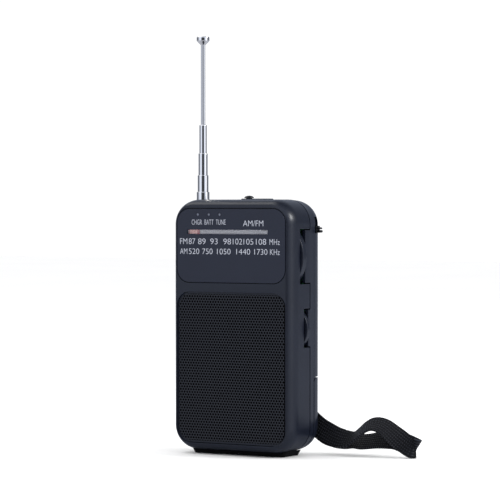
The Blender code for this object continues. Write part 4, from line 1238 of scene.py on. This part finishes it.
def wrist_webbing():
    """A flat strip of webbing laid along the ring, its two ends sewn together."""
    middle = smooth_ring([Vector(spot) for spot, _ in STRAP_RING], 6)
    widths = smooth_ring([Vector(width) for _, width in STRAP_RING], 6)
    count = len(middle)
    lengths = [0.0]
    for i in range(count):
        lengths.append(lengths[-1] + (middle[(i + 1) % count] - middle[i]).length)
    across = 10
    bm = bmesh.new()
    bmesh.ops.create_grid(bm, x_segments=across, y_segments=count, size=0.5)
    uv = bm.loops.layers.uv.new("webbing")
    for face in bm.faces:
        for loop in face.loops:
            u, v = loop.vert.co.x, loop.vert.co.y + 0.5
            loop[uv].uv = (u * STRAP_WIDTH * MM, lengths[round(v * count)] * MM)
    for vert in bm.verts:
        i = round((vert.co.y + 0.5) * count) % count
        along_ring = (middle[(i + 1) % count] - middle[i - 1]).normalized()
        side = (widths[i] - widths[i].dot(along_ring) * along_ring).normalized()
        vert.co = middle[i] + side * vert.co.x * (STRAP_WIDTH - 0.2)
    bmesh.ops.remove_doubles(bm, verts=bm.verts, dist=0.01)
    strap = raw("wrist_webbing", bm)
    thick = strap.modifiers.new("thickness", "SOLIDIFY")
    thick.thickness = (STRAP_THICKNESS - 0.1) * MM
    thick.offset = 0
    settle(strap)
    edge = strap.modifiers.new("edge", "BEVEL")
    edge.width = 0.35 * MM
    edge.segments = 3
    edge.limit_method = "ANGLE"
    edge.angle_limit = radians(60)
    settle(strap)
    piece(strap, WEBBING, "case", ["wrist_strap"], 60)
    return strap


# ---------------------------------------------------------------- stage


def stage():
    """White paper under the object; glossy rays see it as a cooler grey, a painted reflection darker than
    the lit paper.
    """
    floor = bmesh.new()
    bmesh.ops.create_grid(floor, x_segments=1, y_segments=1, size=FLOOR_SIZE)
    ground = raw("floor", floor)
    made, tree, shader, place = blank("pale_paper")
    mottle = add(tree, "TexNoise", {"Scale": 1 / (300.0 * MM)}, {"Vector": place}).outputs["Fac"]
    whites = {6: hex_colour("#fafafa"), 7: hex_colour("#ffffff")}
    paper = add(tree, "Mix", whites, {0: mottle}, data_type="RGBA").outputs[2]
    # Glossy rays see the floor's colour as a cooler grey: a painted reflection.
    glossy = add(tree, "LightPath").outputs["Is Glossy Ray"]
    mirrored = add(tree, "Mix", {7: hex_colour("#9a9fac")}, {0: glossy, 6: paper}, data_type="RGBA")
    tree.links.new(mirrored.outputs[2], shader.inputs["Base Color"])
    vary(tree, shader, place, ("Roughness", 0.85, 0.95, (200.0, 2)))
    ground.data.materials.append(made)


def area_light(name, at, size, power):
    lamp = bpy.data.lights.new(name, "AREA")
    lamp.shape = "RECTANGLE"
    lamp.size, lamp.size_y = size
    lamp.energy = power
    obj = bpy.data.objects.new(name, lamp)
    bpy.context.scene.collection.objects.link(obj)
    obj.location = at
    obj.rotation_euler = (Vector(LIGHTS_AIM_AT) - Vector(at)).to_track_quat("-Z", "Y").to_euler()


def sky():
    """White to the eye and on the floor; glossy faces mirror it dark in front and bright at both sides."""
    world = bpy.data.worlds.new("studio")
    bpy.context.scene.world = world
    world.use_nodes = True
    tree = world.node_tree
    background = tree.nodes["Background"]
    towards = add(tree, "TexCoord").outputs["Generated"]
    facing = add(
        tree, "VectorMath", {1: CAMERA_SIDE}, {0: towards}, operation="DOT_PRODUCT"
    ).outputs["Value"]
    level = add(tree, "MapRange", {"From Min": -1.0, "From Max": 1.0}, {"Value": facing}).outputs["Result"]
    ramp = add(tree, "ValToRGB", links={"Fac": level})
    ramp.color_ramp.interpolation = "EASE"
    for _ in MIRRORED[2:]:
        ramp.color_ramp.elements.new(0.5)
    for element, (position, strength) in zip(ramp.color_ramp.elements, MIRRORED):
        element.position = position
        element.color = (*(strength * channel for channel in COOL), 1.0)
    glossy = add(tree, "LightPath").outputs["Is Glossy Ray"]
    light = add(tree, "Mix", {6: WHITE}, {0: glossy, 7: ramp.outputs["Color"]}, data_type="RGBA")
    tree.links.new(light.outputs[2], background.inputs["Color"])


def lights():
    sky()
    bpy.context.scene.view_settings.view_transform = "Standard"
    for lamp in LIGHTS:
        area_light(*lamp)


def camera():
    lens = bpy.data.cameras.new("camera")
    lens.lens = CAMERA_LENS
    lens.sensor_width = 36.0
    lens.clip_end = 20.0
    obj = bpy.data.objects.new("camera", lens)
    bpy.context.scene.collection.objects.link(obj)
    obj.location = CAMERA_AT
    obj.rotation_euler = (Vector(CAMERA_TARGET) - Vector(CAMERA_AT)).to_track_quat("-Z", "Y").to_euler()
    bpy.context.scene.camera = obj


camera()
stage()
lights()
dress_inside()
wrist_webbing()
front_case()
rear_case()
battery_hatch()
foot()
dial_front()
lettering()
perforated_mesh()
tuning_thumbwheel()
volume_thumbwheel()
band_knob()
tone_knob()
antenna()
cross_screws()
strap_pin()
phone_socket()
charging_port()
